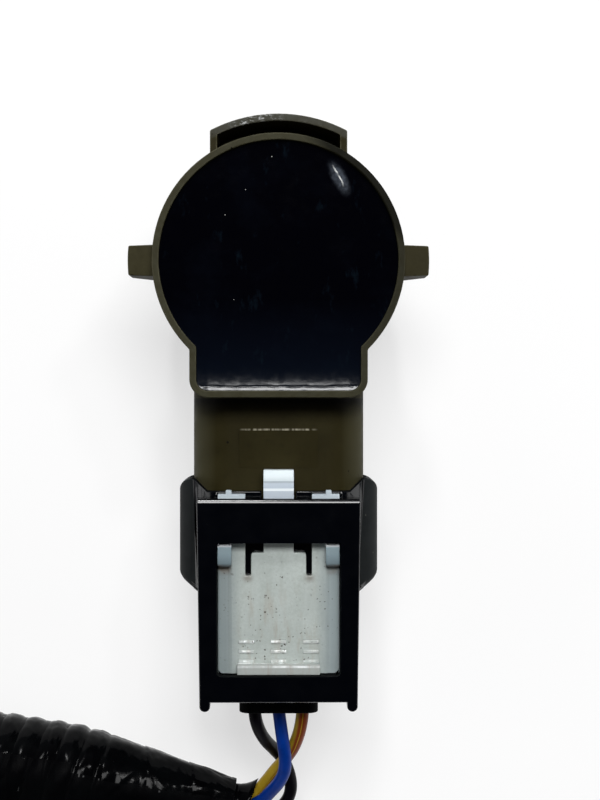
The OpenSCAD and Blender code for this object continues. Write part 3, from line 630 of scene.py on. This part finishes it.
# Lock plate: a milky white polyamide slide that pushes in over the latch and keeps the plug from coming
# off. It has a sprung tongue, two prongs, corner blocks and a thumb lip, and years of road dirt on it.
lock_white, tree, shader = finish("lock_milky", 0.42, shine=0.4)
where = object_place(tree)
x, y, z = step(tree, "SeparateXYZ", {0: where}).outputs
off_middle = calc(tree, "ABSOLUTE", x)
tone = mixed(
    tree, ramp(tree, cloud(tree, where, 300, 4), 0.35, 0.7), paint(166, 174, 170), paint(180, 188, 184))
tone = coated(
    tree, tone, (146, 153, 147), ramp(tree, cloud(tree, where, 3600, 5, 0.75), 0.35, 0.65, 0.0, 0.5))
flow = ramp(tree, cloud(tree, scaled(tree, where, 1.0, 0.1, 1.0), 1300, 3), 0.3, 0.7)
tone = coated(tree, tone, (190, 198, 197), flow, 0.22)
column_tone = mixed(tree, band(tree, x, -5.0, 5.0), paint(120, 131, 133), paint(137, 149, 152))
tone = mixed(tree, both(tree, band(tree, off_middle, 3.8, 5.5), 0.85), tone, column_tone)
# the corner blocks are bluer and darker towards their rear ends, with a painted highlight along the front top
# edge, and brown dirt caught behind them
on_block = both(
    tree, band(tree, z, 19.95, 20.1), band(tree, off_middle, 4.7, 4.85), band(tree, y, -32.2, -31.8))
clear = mixed(tree, band(tree, y, -31.9, -29.4), paint(80, 94, 100), paint(142, 161, 168))
clear = coated(tree, clear, (244, 249, 252), band(tree, y, -29.65, -29.45))
tone = mixed(tree, on_block, tone, clear)
behind = both(
    tree, band(tree, y, -32.7, -31.9), band(tree, y, -31.3, -31.75), band(tree, off_middle, 4.7, 5.2))
tone = coated(
    tree, tone, (104, 84, 64), behind, ramp(tree, cloud(tree, where, 1200, 4), 0.35, 0.6, 0.2, 0.75))
# the tongue's tip is painted in bands of light and shade: a painted bright slope, a darker step, a painted
# highlight along its edge and a darker root
tip = step(tree, "ValToRGB", {0: band(tree, y, -24.7, -21.7)})
tip_light_bands = ((0.0, (172, 182, 192)), (0.27, (180, 190, 200)), (0.285, (226, 234, 238)), (0.36, (226, 234, 238)),
         (0.375, (180, 192, 204)), (0.54, (188, 199, 210)), (0.56, (168, 178, 186)), (0.61, (168, 178, 186)),
         (0.63, (206, 217, 221)), (1.0, (210, 221, 225)))
while len(tip.color_ramp.elements) < len(tip_light_bands):
    tip.color_ramp.elements.new(0.5)
for stop, (place, colour) in zip(tip.color_ramp.elements, tip_light_bands):
    stop.position = place
    stop.color = paint(*colour)
past_guard = band(tree, y, -24.72, -24.7)
tone = mixed(tree, both(tree, past_guard, band(tree, off_middle, 1.8, 1.7)), tone, tip.outputs[0])
tone = coated(tree, tone, (176, 187, 194), past_guard, band(tree, off_middle, 3.0, 3.2))
# the thumb ridges are painted against their lighting, their shaded undersides lighter and their lit tops
# darker, so they hardly show but for a painted broken highlight along each crest, weaker on the right
across = step(tree, "CombineXYZ", {"X": x, "Y": y}).outputs[0]
on_ridge = both(
    tree, band(tree, z, 19.91, 19.94), band(tree, z, 20.3, 20.2), band(tree, off_middle, 4.6, 4.4))
on_ridge = both(tree, on_ridge, band(tree, y, -41.8, -41.75), band(tree, y, -38.9, -39.0))
slope = step(tree, "SeparateXYZ", {0: step(tree, "NewGeometry").outputs["Normal"]}).outputs["Y"]
tone = coated(tree, tone, (236, 241, 239), on_ridge, ramp(tree, slope, -0.1, -0.6, 0.0, 0.9))
tone = coated(tree, tone, (150, 157, 154), on_ridge, ramp(tree, slope, 0.1, 0.6, 0.0, 0.7))
on_crest = both(tree, on_ridge, band(tree, z, 20.055, 20.09), band(tree, x, 2.0, 2.4, 1.0, 0.4))
tone = coated(
    tree, tone, (246, 250, 249), on_crest, ramp(tree, cloud(tree, across, 1300, 2), 0.47, 0.6, 0.1, 1.0))
# the lip is darker, with a painted highlight line behind its front edge
tone = coated(tree, tone, (152, 155, 153), band(tree, z, 20.5, 20.7), band(tree, y, -41.4, -41.5, 0.0, 0.6))
lip_glint = both(tree, band(tree, z, 20.55, 20.7), band(tree, y, -42.12, -42.05), band(tree, y, -41.83, -41.9))
tone = coated(
    tree, tone, (240, 244, 243), lip_glint, ramp(tree, cloud(tree, across, 700, 3), 0.4, 0.6, 0.3, 0.9))
# road dirt: brown streaks in the middle, grime at the ends of the slits, fine specks and a few coarse ones
streaks = ramp(tree, cloud(tree, scaled(tree, where, 1.0, 0.16, 1.0), 1500, 4, 0.6), 0.5, 0.74)
in_middle = both(tree, band(tree, y, -32, -38), band(tree, off_middle, 4.6, 3.0))
tone = coated(tree, tone, (140, 120, 98), streaks, in_middle, 0.5)
off_slit = calc(tree, "ABSOLUTE", calc(tree, "SUBTRACT", off_middle, 3.2 * MM))
off_end = calc(tree, "ABSOLUTE", calc(tree, "ADD", y, 32.9 * MM))
tone = coated(tree, tone, (92, 74, 56), band(tree, off_slit, 0.7, 0.2), band(tree, off_end, 0.6, 0.1), 0.5)


def rare_motes(tree, where, scale, outer, inner, low, high):
    motes = step(tree, "TexVoronoi", {"Vector": where, "Scale": scale})
    rare = step(tree, "SeparateColor", {0: motes.outputs["Color"]}).outputs[0]
    return both(tree, ramp(tree, motes.outputs["Distance"], outer, inner), ramp(tree, rare, low, high))


in_window = both(tree, band(tree, y, -30.2, -31.5), band(tree, y, -41.6, -41.4))
patches = calc(tree, "MAXIMUM", ramp(tree, cloud(tree, where, 260, 3), 0.42, 0.54), in_middle)
shake = step(tree, "TexNoise", {"Vector": where, "Scale": 4000.0}).outputs["Color"]
nudge = {0: shake, 1: (0.3 * MM, 0.3 * MM, 0.3 * MM), 2: where}
nudged = step(tree, "VectorMath", nudge, operation="MULTIPLY_ADD").outputs[0]
for scale, share, wide, dark in ((2400.0, 0.6, 0.22, 0.7), (1700.0, 0.74, 0.2, 0.85),
                                 (1100.0, 0.86, 0.15, 0.95), (800.0, 0.92, 0.13, 0.95)):
    specks = rare_motes(tree, nudged, scale, wide, 0.6 * wide, share, share + 0.01)
    tone = coated(tree, tone, (50, 38, 28), specks, patches, in_window, dark)
tree.links.new(tone, shader.inputs["Base Color"])
shader.inputs["Subsurface Weight"].default_value = 0.12
shader.inputs["Subsurface Radius"].default_value = (0.9 * MM, 0.9 * MM, 1.0 * MM)
grain(tree, shader, cloud(tree, where, 4200, 3), 0.12, 0.03 * MM)
block_ends = ((-6.4, -31.75, 19.5), (6.4, -31.65, 20.9), 0.4 * MM)
shoulders = [((at - 0.05, -30.3, 18.5), (at + 0.05, -30.2, 20.0), 0.45 * MM) for at in (-2.86, 2.86)]
slit_ends = [((at - 0.05, -32.8, 18.5), (at + 0.05, -32.6, 20.0), 0.25 * MM)
             for at in (-3.47, -2.86, 2.86, 3.47)]
ridge_lines = ((-4.3, -41.75, 19.8), (4.3, -39.1, 20.2), 0.02 * MM)
COLUMN_AT, COLUMN_TOP, COLUMN_SLOPE = 4.88, 19.78, 0.4
BLOCK_TOP, BLOCK_RAISE = 20.4, 0.4


def soft_columns(shape):
    # the steps down to the side columns run out in shallow slopes, and the corner blocks stand higher
    for v in shape.verts:
        if abs(abs(v.co.x) - COLUMN_AT * MM) < 0.01 * MM and abs(v.co.z - COLUMN_TOP * MM) < 0.01 * MM:
            v.co.x += math.copysign(COLUMN_SLOPE * MM, v.co.x)
        elif abs(v.co.z - BLOCK_TOP * MM) < 0.01 * MM and abs(v.co.x) > 4.8 * MM:
            v.co.z += BLOCK_RAISE * MM


lock = rounded_copy("lock_plate", "lock_slide", 0.09 * MM, 3, hollows=False, inward=slit_ends,
                    special=[ridge_lines, block_ends] + shoulders, reshape=soft_columns)
lock.data.materials.append(lock_white)
settle(lock, "lock_plate")


# Terminals and wire seals: stamped tin-plated sockets crimped on the wires, each behind its own ribbed
# silicone seal. They are closed in by the plug body.
tin = inner_finish("tin_plate", (176, 178, 180), (198, 200, 202), 2600, 0.3, 1.0)
dress(tin, "terminal_left", "terminal_middle", "terminal_right")
wire_rubber = inner_finish("wire_seal_silicone", (150, 62, 40), (168, 76, 52), 1800, 0.6)
dress(wire_rubber, "wire_seal_left", "wire_seal_middle", "wire_seal_right")


# Seal cap: a black cover snapped on the back of the plug. It holds the wire seals in and has one
# hole for each wire.
cap = rounded_copy("seal_cap", "cap", 0.12 * MM, 2)
cap.data.materials.append(pocket_skin)
settle(cap, "seal_cap")


# Wires: three thin stranded automotive wires in purple-black, blue and yellow with an orange side. They
# leave the cap side by side, cross over each other on the way down to the table and go into the taped loom.
EXIT = Vector((0, -47.7, 12.8))
LOOM_R = 6.1
LOOM_AT = Vector((-31, -55.7, LOOM_R))
LOOM_TURN = math.radians(-9)
CRIMP = 16.65
WIRE_D = 1.4
BUNDLE = WIRE_D * 0.61
TAIL = -35.8
GROUND = WIRE_D / 2 - LOOM_R + 0.03
loom_along = Vector((math.cos(LOOM_TURN), math.sin(LOOM_TURN), 0))
loom_aside = Vector((-math.sin(LOOM_TURN), math.cos(LOOM_TURN), 0))


def in_loom(s, n, h):
    return LOOM_AT + loom_along * s + loom_aside * n + Vector((0, 0, h))


def from_exit(*places):
    return [EXIT + Vector(p) for p in places]


low_bundle, side_bundle = -0.5 * BUNDLE, 0.866 * BUNDLE
purple_route = from_exit(
    (-2.6, CRIMP, 0), (-2.6, 0, 0), (-2.5, -1.3, -0.2), (-2.1, -2.8, -1.2),
    (-1.4, -4.3, -2.8), (-0.5, -5.6, -4.4), (0.5, -7, -5.5), (1.2, -8.8, -5.9),
    (1.35, -10.5, -6.1), (0.8, -12, -6.5), (-0.4, -13.1, -6.9), (-2, -13.6, -7.1),
) + [
    in_loom(27.6, -side_bundle, low_bundle), in_loom(TAIL - 0.5, -side_bundle, low_bundle),
    in_loom(TAIL - 4, -1.3, -1.1), in_loom(TAIL - 8, -2.4, -3.1), in_loom(TAIL - 12, -3.8, -5),
    in_loom(TAIL - 16, -5.4, GROUND), in_loom(TAIL - 20, -7.2, GROUND),
]
blue_route = from_exit(
    (0, CRIMP, 0), (0, 0, 0), (0.2, -1.9, -0.1), (0.5, -4.1, -0.3), (0.7, -5.8, -0.8), (0.6, -7.4, -1.6),
    (0, -8.9, -2.7), (-0.9, -10.2, -3.9), (-1.9, -11.4, -4.9),
) + [
    in_loom(27.6, 0, BUNDLE), in_loom(TAIL - 0.5, 0, BUNDLE), in_loom(TAIL - 4, 0.1, 0.4),
    in_loom(TAIL - 8, 0.3, -1.4), in_loom(TAIL - 12, 0.6, -3.9), in_loom(TAIL - 16, 0.9, -5.2),
    in_loom(TAIL - 19, 1.1, GROUND),
]
yellow_route = from_exit(
    (2.6, CRIMP, 0), (2.6, 0, 0), (2.5, -1.4, -0.1), (2.2, -3, -0.7), (1.6, -4.8, -1.8), (0.7, -6.4, -3.1),
    (-0.4, -7.9, -4.3), (-1.5, -9.6, -5.7), (-2.5, -10.9, -6.6),
) + [
    in_loom(27.6, side_bundle, low_bundle), in_loom(TAIL - 0.5, side_bundle, low_bundle),
    in_loom(TAIL - 4, 1.3, -1.2), in_loom(TAIL - 8, 2.5, -3.3), in_loom(TAIL - 12, 4.1, -5.1),
    in_loom(TAIL - 15, 5.5, GROUND), in_loom(TAIL - 18, 7, GROUND),
]


def smooth_line(route, gap=0.32):
    line = []
    for i, (b, c) in enumerate(zip(route, route[1:])):
        a = route[i - 1] if i else b * 2 - c
        d = route[i + 2] if i + 2 < len(route) else c * 2 - b
        span = (c - b).length
        lead = (c - a).normalized() * min(span, (b - a).length * 1.6)
        trail = (d - b).normalized() * min(span, (d - c).length * 1.6)
        count = max(2, int(span / gap))
        for k in range(count):
            t = k / count
            line.append(
                b * (2 * t ** 3 - 3 * t ** 2 + 1) + lead * (t ** 3 - 2 * t ** 2 + t)
                + c * (3 * t ** 2 - 2 * t ** 3) + trail * (t ** 3 - t ** 2)
            )
    return line + [route[-1]]


def face_outwards(piece):
    shape = bmesh.new()
    shape.from_mesh(piece.data)
    bmesh.ops.recalc_face_normals(shape, faces=shape.faces)
    shape.to_mesh(piece.data)
    shape.free()


def wire_tube(name, line, radius, sides=18):
    points, faces = [], []
    heading = (line[1] - line[0]).normalized()
    up = Vector((0, 0, 1))
    travelled = [0.0]
    for i, p in enumerate(line):
        ahead = (line[min(i + 1, len(line) - 1)] - line[max(i - 1, 0)]).normalized()
        up = (heading.rotation_difference(ahead) @ up).normalized()
        up = (up - ahead * up.dot(ahead)).normalized()
        heading = ahead
        side = ahead.cross(up)
        if i:
            travelled.append(travelled[-1] + (p - line[i - 1]).length)
        for k in range(sides):
            a = 2 * math.pi * k / sides
            points.append(p + (up * math.cos(a) + side * math.sin(a)) * radius)
    for i in range(len(line) - 1):
        for k in range(sides):
            j = (k + 1) % sides
            faces.append((i * sides + k, i * sides + j, (i + 1) * sides + j, (i + 1) * sides + k))
    last = (len(line) - 1) * sides
    faces.append(tuple(range(sides)))
    faces.append(tuple(last + k for k in reversed(range(sides))))
    piece = solid_piece(name, points, faces)
    face_outwards(piece)
    for label, values in (("around", [k / sides for _ in line for k in range(sides)]),
                          ("along", [t for t in travelled for _ in range(sides)])):
        piece.data.attributes.new(label, "FLOAT", "POINT").data.foreach_set("value", values)
    return piece, travelled[-1]


def wire_skin(name, first, second, shine, stripe=None):
    made, tree, shader = finish(name, 0.36, shine=shine)
    where = object_place(tree)
    tone = mixed(tree, ramp(tree, cloud(tree, where, 420, 4), 0.3, 0.7), paint(*first), paint(*second))
    if stripe:
        side = calc(tree, "SINE", both(tree, attribute(tree, "around"), 2 * math.pi))
        wander = both(tree, cloud(tree, where, 260, 2), 0.35)
        near_plug = ramp(tree, attribute(tree, "along"), 17.0, 28.0, -0.6, 0.0)
        lying = calc(tree, "ADD", calc(tree, "ADD", side, wander), near_plug)
        tone = coated(tree, tone, stripe, ramp(tree, lying, 0.35, 0.0))
    tone = coated(tree, tone, (20, 18, 18), ramp(tree, cloud(tree, where, 900, 5, 0.7), 0.58, 0.8, 0, 0.4))
    tree.links.new(tone, shader.inputs["Base Color"])
    tree.links.new(ramp(tree, cloud(tree, where, 800, 3), 0.3, 0.7, 0.28, 0.46), shader.inputs["Roughness"])
    grain(tree, shader, cloud(tree, where, 2600, 3), 0.12, 0.04 * MM)
    return made


wires = {}
for name, route, skin in (
    ("wire_purple", purple_route, wire_skin("purple_pvc", (5, 4, 6), (12, 8, 15), 0.1)),
    ("wire_blue", blue_route, wire_skin("blue_pvc", (1, 42, 118), (3, 52, 142), 0.12)),
    ("wire_yellow", yellow_route,
     wire_skin("yellow_pvc", (158, 130, 30), (178, 148, 42), 0.15, stripe=(122, 54, 18))),
):
    line = smooth_line(route)
    tube, run = wire_tube(name + "_tube", line, WIRE_D / 2)
    tube.data.materials.append(skin)
    settle(tube, name)
    wires[name] = (tube, route, line, run)


# Bare strands: where the harness was cut, the last few millimetres of each wire are stripped to the
# seven twisted copper strands inside.
ends = bpy.data.meshes.new("strand_ends")
ends.from_pydata([wires[name][2][-1] * MM for name in wires], [], [])
aim_ends = ends.attributes.new("heading", "FLOAT_VECTOR", "POINT")
for i, name in enumerate(wires):
    line = wires[name][2]
    aim_ends.data[i].vector = (line[-1] - line[-4]).normalized()
strand_seed = bpy.data.objects.new("strand_seed", ends)
scene.collection.objects.link(strand_seed)
twist = bpy.data.node_groups.new("twisted_strands", "GeometryNodeTree")
twist.interface.new_socket("Geometry", in_out="INPUT", socket_type="NodeSocketGeometry")
strand_sizes = {
    "Strand Radius": 0.148 * MM, "Lay Radius": 0.298 * MM, "Strand Length": 4.0 * MM, "Turns": 0.5}
strand_keys = {}
for label in strand_sizes:
    socket = twist.interface.new_socket(label, in_out="INPUT", socket_type="NodeSocketFloat")
    strand_keys[label] = socket.identifier
twist.interface.new_socket("Geometry", in_out="OUTPUT", socket_type="NodeSocketGeometry")
given = part(twist, "NodeGroupInput")
profile = part(twist, "GeometryNodeCurvePrimitiveCircle", {
    "Resolution": 8, "Radius": given.outputs["Strand Radius"]})
helix = part(twist, "GeometryNodeCurveSpiral", {
    "Resolution": 18, "Rotations": given.outputs["Turns"], "Start Radius": given.outputs["Lay Radius"],
    "End Radius": given.outputs["Lay Radius"], "Height": given.outputs["Strand Length"]})
outer_strand = part(twist, "GeometryNodeCurveToMesh", {
    "Curve": helix.outputs[0], "Profile Curve": profile.outputs[0], "Fill Caps": True})
six = part(twist, "GeometryNodePoints", {"Count": 6, "Radius": 0.0001})
strand_number = part(twist, "GeometryNodeInputIndex").outputs[0]
sixth = part(twist, "ShaderNodeMath", {0: strand_number, 1: math.pi / 3}, operation="MULTIPLY")
spread = part(twist, "ShaderNodeCombineXYZ", {"Z": sixth.outputs[0]})
lay = part(twist, "GeometryNodeInstanceOnPoints", {
    "Points": six.outputs[0], "Instance": outer_strand.outputs[0], "Rotation": spread.outputs[0]})
rise = part(twist, "ShaderNodeCombineXYZ", {"Z": given.outputs["Strand Length"]})
core_line = part(twist, "GeometryNodeCurvePrimitiveLine", {"End": rise.outputs[0]})
core_strand = part(twist, "GeometryNodeCurveToMesh", {
    "Curve": core_line.outputs[0], "Profile Curve": profile.outputs[0], "Fill Caps": True})
rope = part(twist, "GeometryNodeJoinGeometry")
twist.links.new(lay.outputs[0], rope.inputs[0])
twist.links.new(core_strand.outputs[0], rope.inputs[0])
heading = part(twist, "GeometryNodeInputNamedAttribute", {"Name": "heading"}, data_type="FLOAT_VECTOR")
facing = part(twist, "FunctionNodeAlignRotationToVector", {"Vector": heading.outputs[0]}, axis="Z")
placed = part(twist, "GeometryNodeInstanceOnPoints", {
    "Points": given.outputs["Geometry"], "Instance": rope.outputs[0], "Rotation": facing.outputs[0]})
real = part(twist, "GeometryNodeRealizeInstances", {0: placed.outputs[0]})
coppered = part(twist, "GeometryNodeSetMaterial", {"Geometry": real.outputs[0], "Material": copper})
twist.links.new(coppered.outputs[0], part(twist, "NodeGroupOutput").inputs[0])
maker = strand_seed.modifiers.new("twist", "NODES")
maker.node_group = twist
for label, size in strand_sizes.items():
    maker[strand_keys[label]] = size
graph = bpy.context.evaluated_depsgraph_get()
strand_mesh = bpy.data.meshes.new_from_object(strand_seed.evaluated_get(graph), depsgraph=graph)
bpy.data.objects.remove(strand_seed)
strand_mesh.name = "strands"
strands = bpy.data.objects.new("strands", strand_mesh)
scene.collection.objects.link(strands)
settle(strands, "bare_strands")


# Conduit: a black corrugated polypropylene tube round the wires, hidden under the tape, where only
# its ribs press through.
dress(inner_finish("conduit_black", (18, 19, 20), (28, 29, 30), 1600, 0.5), "conduit")


# Tape: black cloth-free PVC tape wound on a slant round the conduit and down on to the wires. It sinks
# between the ribs, puckers on the cone, ends in a step, and one loose corner stands up at the mouth.
RIB, RIB_DIP = 2.45, 0.4
CONDUIT_FROM, CONDUIT_TO = -26.3, 8.0
REAR_CONE, REAR_CONE_R = 8.0, 2.4
REAR_CONE_TO = CONDUIT_FROM - REAR_CONE
CONE_FROM = 8.2
MOUTH_STEP, MOUTH_END = 26.2, 27.9
MOUTH_R, SLEEVE_R = 2.75, 1.95
LAY, LAP_STEP, EDGE_STEP = 5.2, 0.07, 0.1
SLEEVE_BORE, CONDUIT_SEAT = 1.56, 5.76


def tape_radius(s, a):
    up, aside = math.sin(a), math.cos(a)
    if s > MOUTH_STEP:
        r = SLEEVE_R
    elif s > CONE_FROM:
        t = (s - CONE_FROM) / (MOUTH_STEP - CONE_FROM)
        r = LOOM_R + (MOUTH_R - LOOM_R) * (t ** 1.04)
    elif s > CONDUIT_FROM:
        r = LOOM_R
    elif s > REAR_CONE_TO:
        t = (CONDUIT_FROM - s) / REAR_CONE
        r = LOOM_R + (REAR_CONE_R - LOOM_R) * t
    else:
        r = SLEEVE_R
    # the ribs press through, leaning with the winding
    lean = s - 1.0 * aside
    on_ribs = clamped((13.5 - s) / 3.5) * clamped((s - CONDUIT_FROM + 1) / 2.0)
    crest = math.sqrt(abs(math.sin(math.pi * (lean - CONDUIT_FROM) / RIB)))
    rib = -RIB_DIP * (1 - crest) * on_ribs
    winding = (s / LAY - a / (2 * math.pi)) % 1.0
    lap = -LAP_STEP * winding if s < MOUTH_STEP else 0.0
    # one free edge of the tape runs slantwise over the start of the cone
    edge = clamped((12.6 + 0.88 * r * aside - s) / 0.14) * clamped(up * 3) * (5.0 < s < MOUTH_STEP)
    flow = Vector((s * 0.55, aside * 2.2, up * 2.2))
    pucker = 0.08 * noise.noise(flow) + 0.04 * noise.noise(flow * 3.1)
    if 9.0 < s < MOUTH_STEP:
        pucker += 0.13 * waver(s * 0.3 + a * 0.9, a * 1.6 - s * 0.25, 2.0)
    return min(LOOM_R, max(1.65, r + rib + lap + EDGE_STEP * edge + pucker - 0.12))


AROUND, STATION_GAP = 112, 0.16
stations = []
s = TAIL
while s < MOUTH_STEP:
    stations.append(s)
    s += STATION_GAP
stations += [MOUTH_STEP - 0.02, MOUTH_STEP + 0.02, 26.5, 26.8, 27.1, 27.4, 27.65, MOUTH_END]
points, faces = [], []


def ring_at(s, radius):
    for k in range(AROUND):
        a = 2 * math.pi * k / AROUND
        points.append(in_loom(s, math.cos(a) * radius(a), math.sin(a) * radius(a)))


for s in stations:
    ring_at(s, lambda a: tape_radius(s, a))
INNER_LINE = ((MOUTH_END, SLEEVE_BORE), (MOUTH_STEP, SLEEVE_BORE), (24, 2.2), (CONDUIT_TO + 0.5, 5.3),
              (CONDUIT_TO, CONDUIT_SEAT), (CONDUIT_FROM, CONDUIT_SEAT), (REAR_CONE_TO, 1.7),
              (TAIL, SLEEVE_BORE))
for s, r in INNER_LINE:
    ring_at(s, lambda a: min(r, tape_radius(s, a) - 0.05))
rows = len(stations) + len(INNER_LINE)
for i in range(rows):
    n = (i + 1) % rows
    for k in range(AROUND):
        j = (k + 1) % AROUND
        faces.append((i * AROUND + k, n * AROUND + k, n * AROUND + j, i * AROUND + j))
# the loose corner of tape at the mouth
first = len(points)
FLAG_STEPS, FLAG_ROWS, FLAG_FROM, FLAG_THICK = 14, 4, 26.1, 0.14
FLAG_SPAN = (math.radians(-8), math.radians(115))
across = FLAG_STEPS + 1
for layer in (0.0, FLAG_THICK):
    for i in range(FLAG_ROWS + 1):
        for k in range(across):
            t = k / FLAG_STEPS
            a = FLAG_SPAN[0] + (FLAG_SPAN[1] - FLAG_SPAN[0]) * t
            lift = i / FLAG_ROWS
            s = FLAG_FROM + lift * (2.5 - 0.9 * t)
            r = SLEEVE_R + 0.02 + layer + lift ** 2.2 * (0.95 - 0.65 * t)
            points.append(in_loom(s, math.cos(a) * r, math.sin(a) * r))
sheet_size = (FLAG_ROWS + 1) * across
for i in range(FLAG_ROWS):
    for k in range(FLAG_STEPS):
        a = first + i * across + k
        faces.append((a, a + 1, a + across + 1, a + across))
        a += sheet_size
        faces.append((a, a + across, a + across + 1, a + 1))
rim_line = (list(range(across)) + [i * across + FLAG_STEPS for i in range(1, FLAG_ROWS + 1)]
            + [FLAG_ROWS * across + k for k in reversed(range(FLAG_STEPS))]
            + [i * across for i in reversed(range(1, FLAG_ROWS))])
for i, a in enumerate(rim_line):
    b = rim_line[(i + 1) % len(rim_line)]
    faces.append((first + a, first + sheet_size + a, first + sheet_size + b, first + b))


def tape_finish(name, shine, smooth, rough):
    made, tree, shader = finish(name, rough, shine=shine)
    where = object_place(tree)
    tone = mixed(tree, ramp(tree, cloud(tree, where, 300, 4), 0.35, 0.75), paint(2, 2, 3), paint(5, 6, 7))
    tone = coated(tree, tone, (120, 122, 124), rare_motes(tree, where, 620.0, 0.12, 0.06, 0.8, 0.82), 0.6)
    tree.links.new(tone, shader.inputs["Base Color"])
    tree.links.new(
        ramp(tree, cloud(tree, where, 500, 4), 0.3, 0.7, smooth, rough), shader.inputs["Roughness"])
    grain(tree, shader, cloud(tree, where, 1500, 4), 0.1, 0.05 * MM)
    return made


tape = solid_piece("tape_winding", points, faces)
face_outwards(tape)
# the upper side keeps its gloss, and the side the loom was dragged on and its far end are rubbed dull
tape.data.materials.append(tape_finish("tape_gloss", 0.055, 0.1, 0.18))
tape.data.materials.append(tape_finish("tape_dull", 0.015, 0.4, 0.5))
for polygon in tape.data.polygons:
    place = polygon.center / MM - LOOM_AT
    s, n = place.dot(loom_along), place.dot(loom_aside)
    cone = clamped((s - CONE_FROM) / (MOUTH_STEP - CONE_FROM))
    lowest = (0.46 if s < CONDUIT_TO else 0.3) + 0.06 * waver(s * 0.9, 0, 5)
    dragged = n < lowest * (LOOM_R + (MOUTH_R - LOOM_R) * cone)
    polygon.material_index = int(dragged or s < CONDUIT_FROM + 0.5)
settle(tape, "tape_wrap")
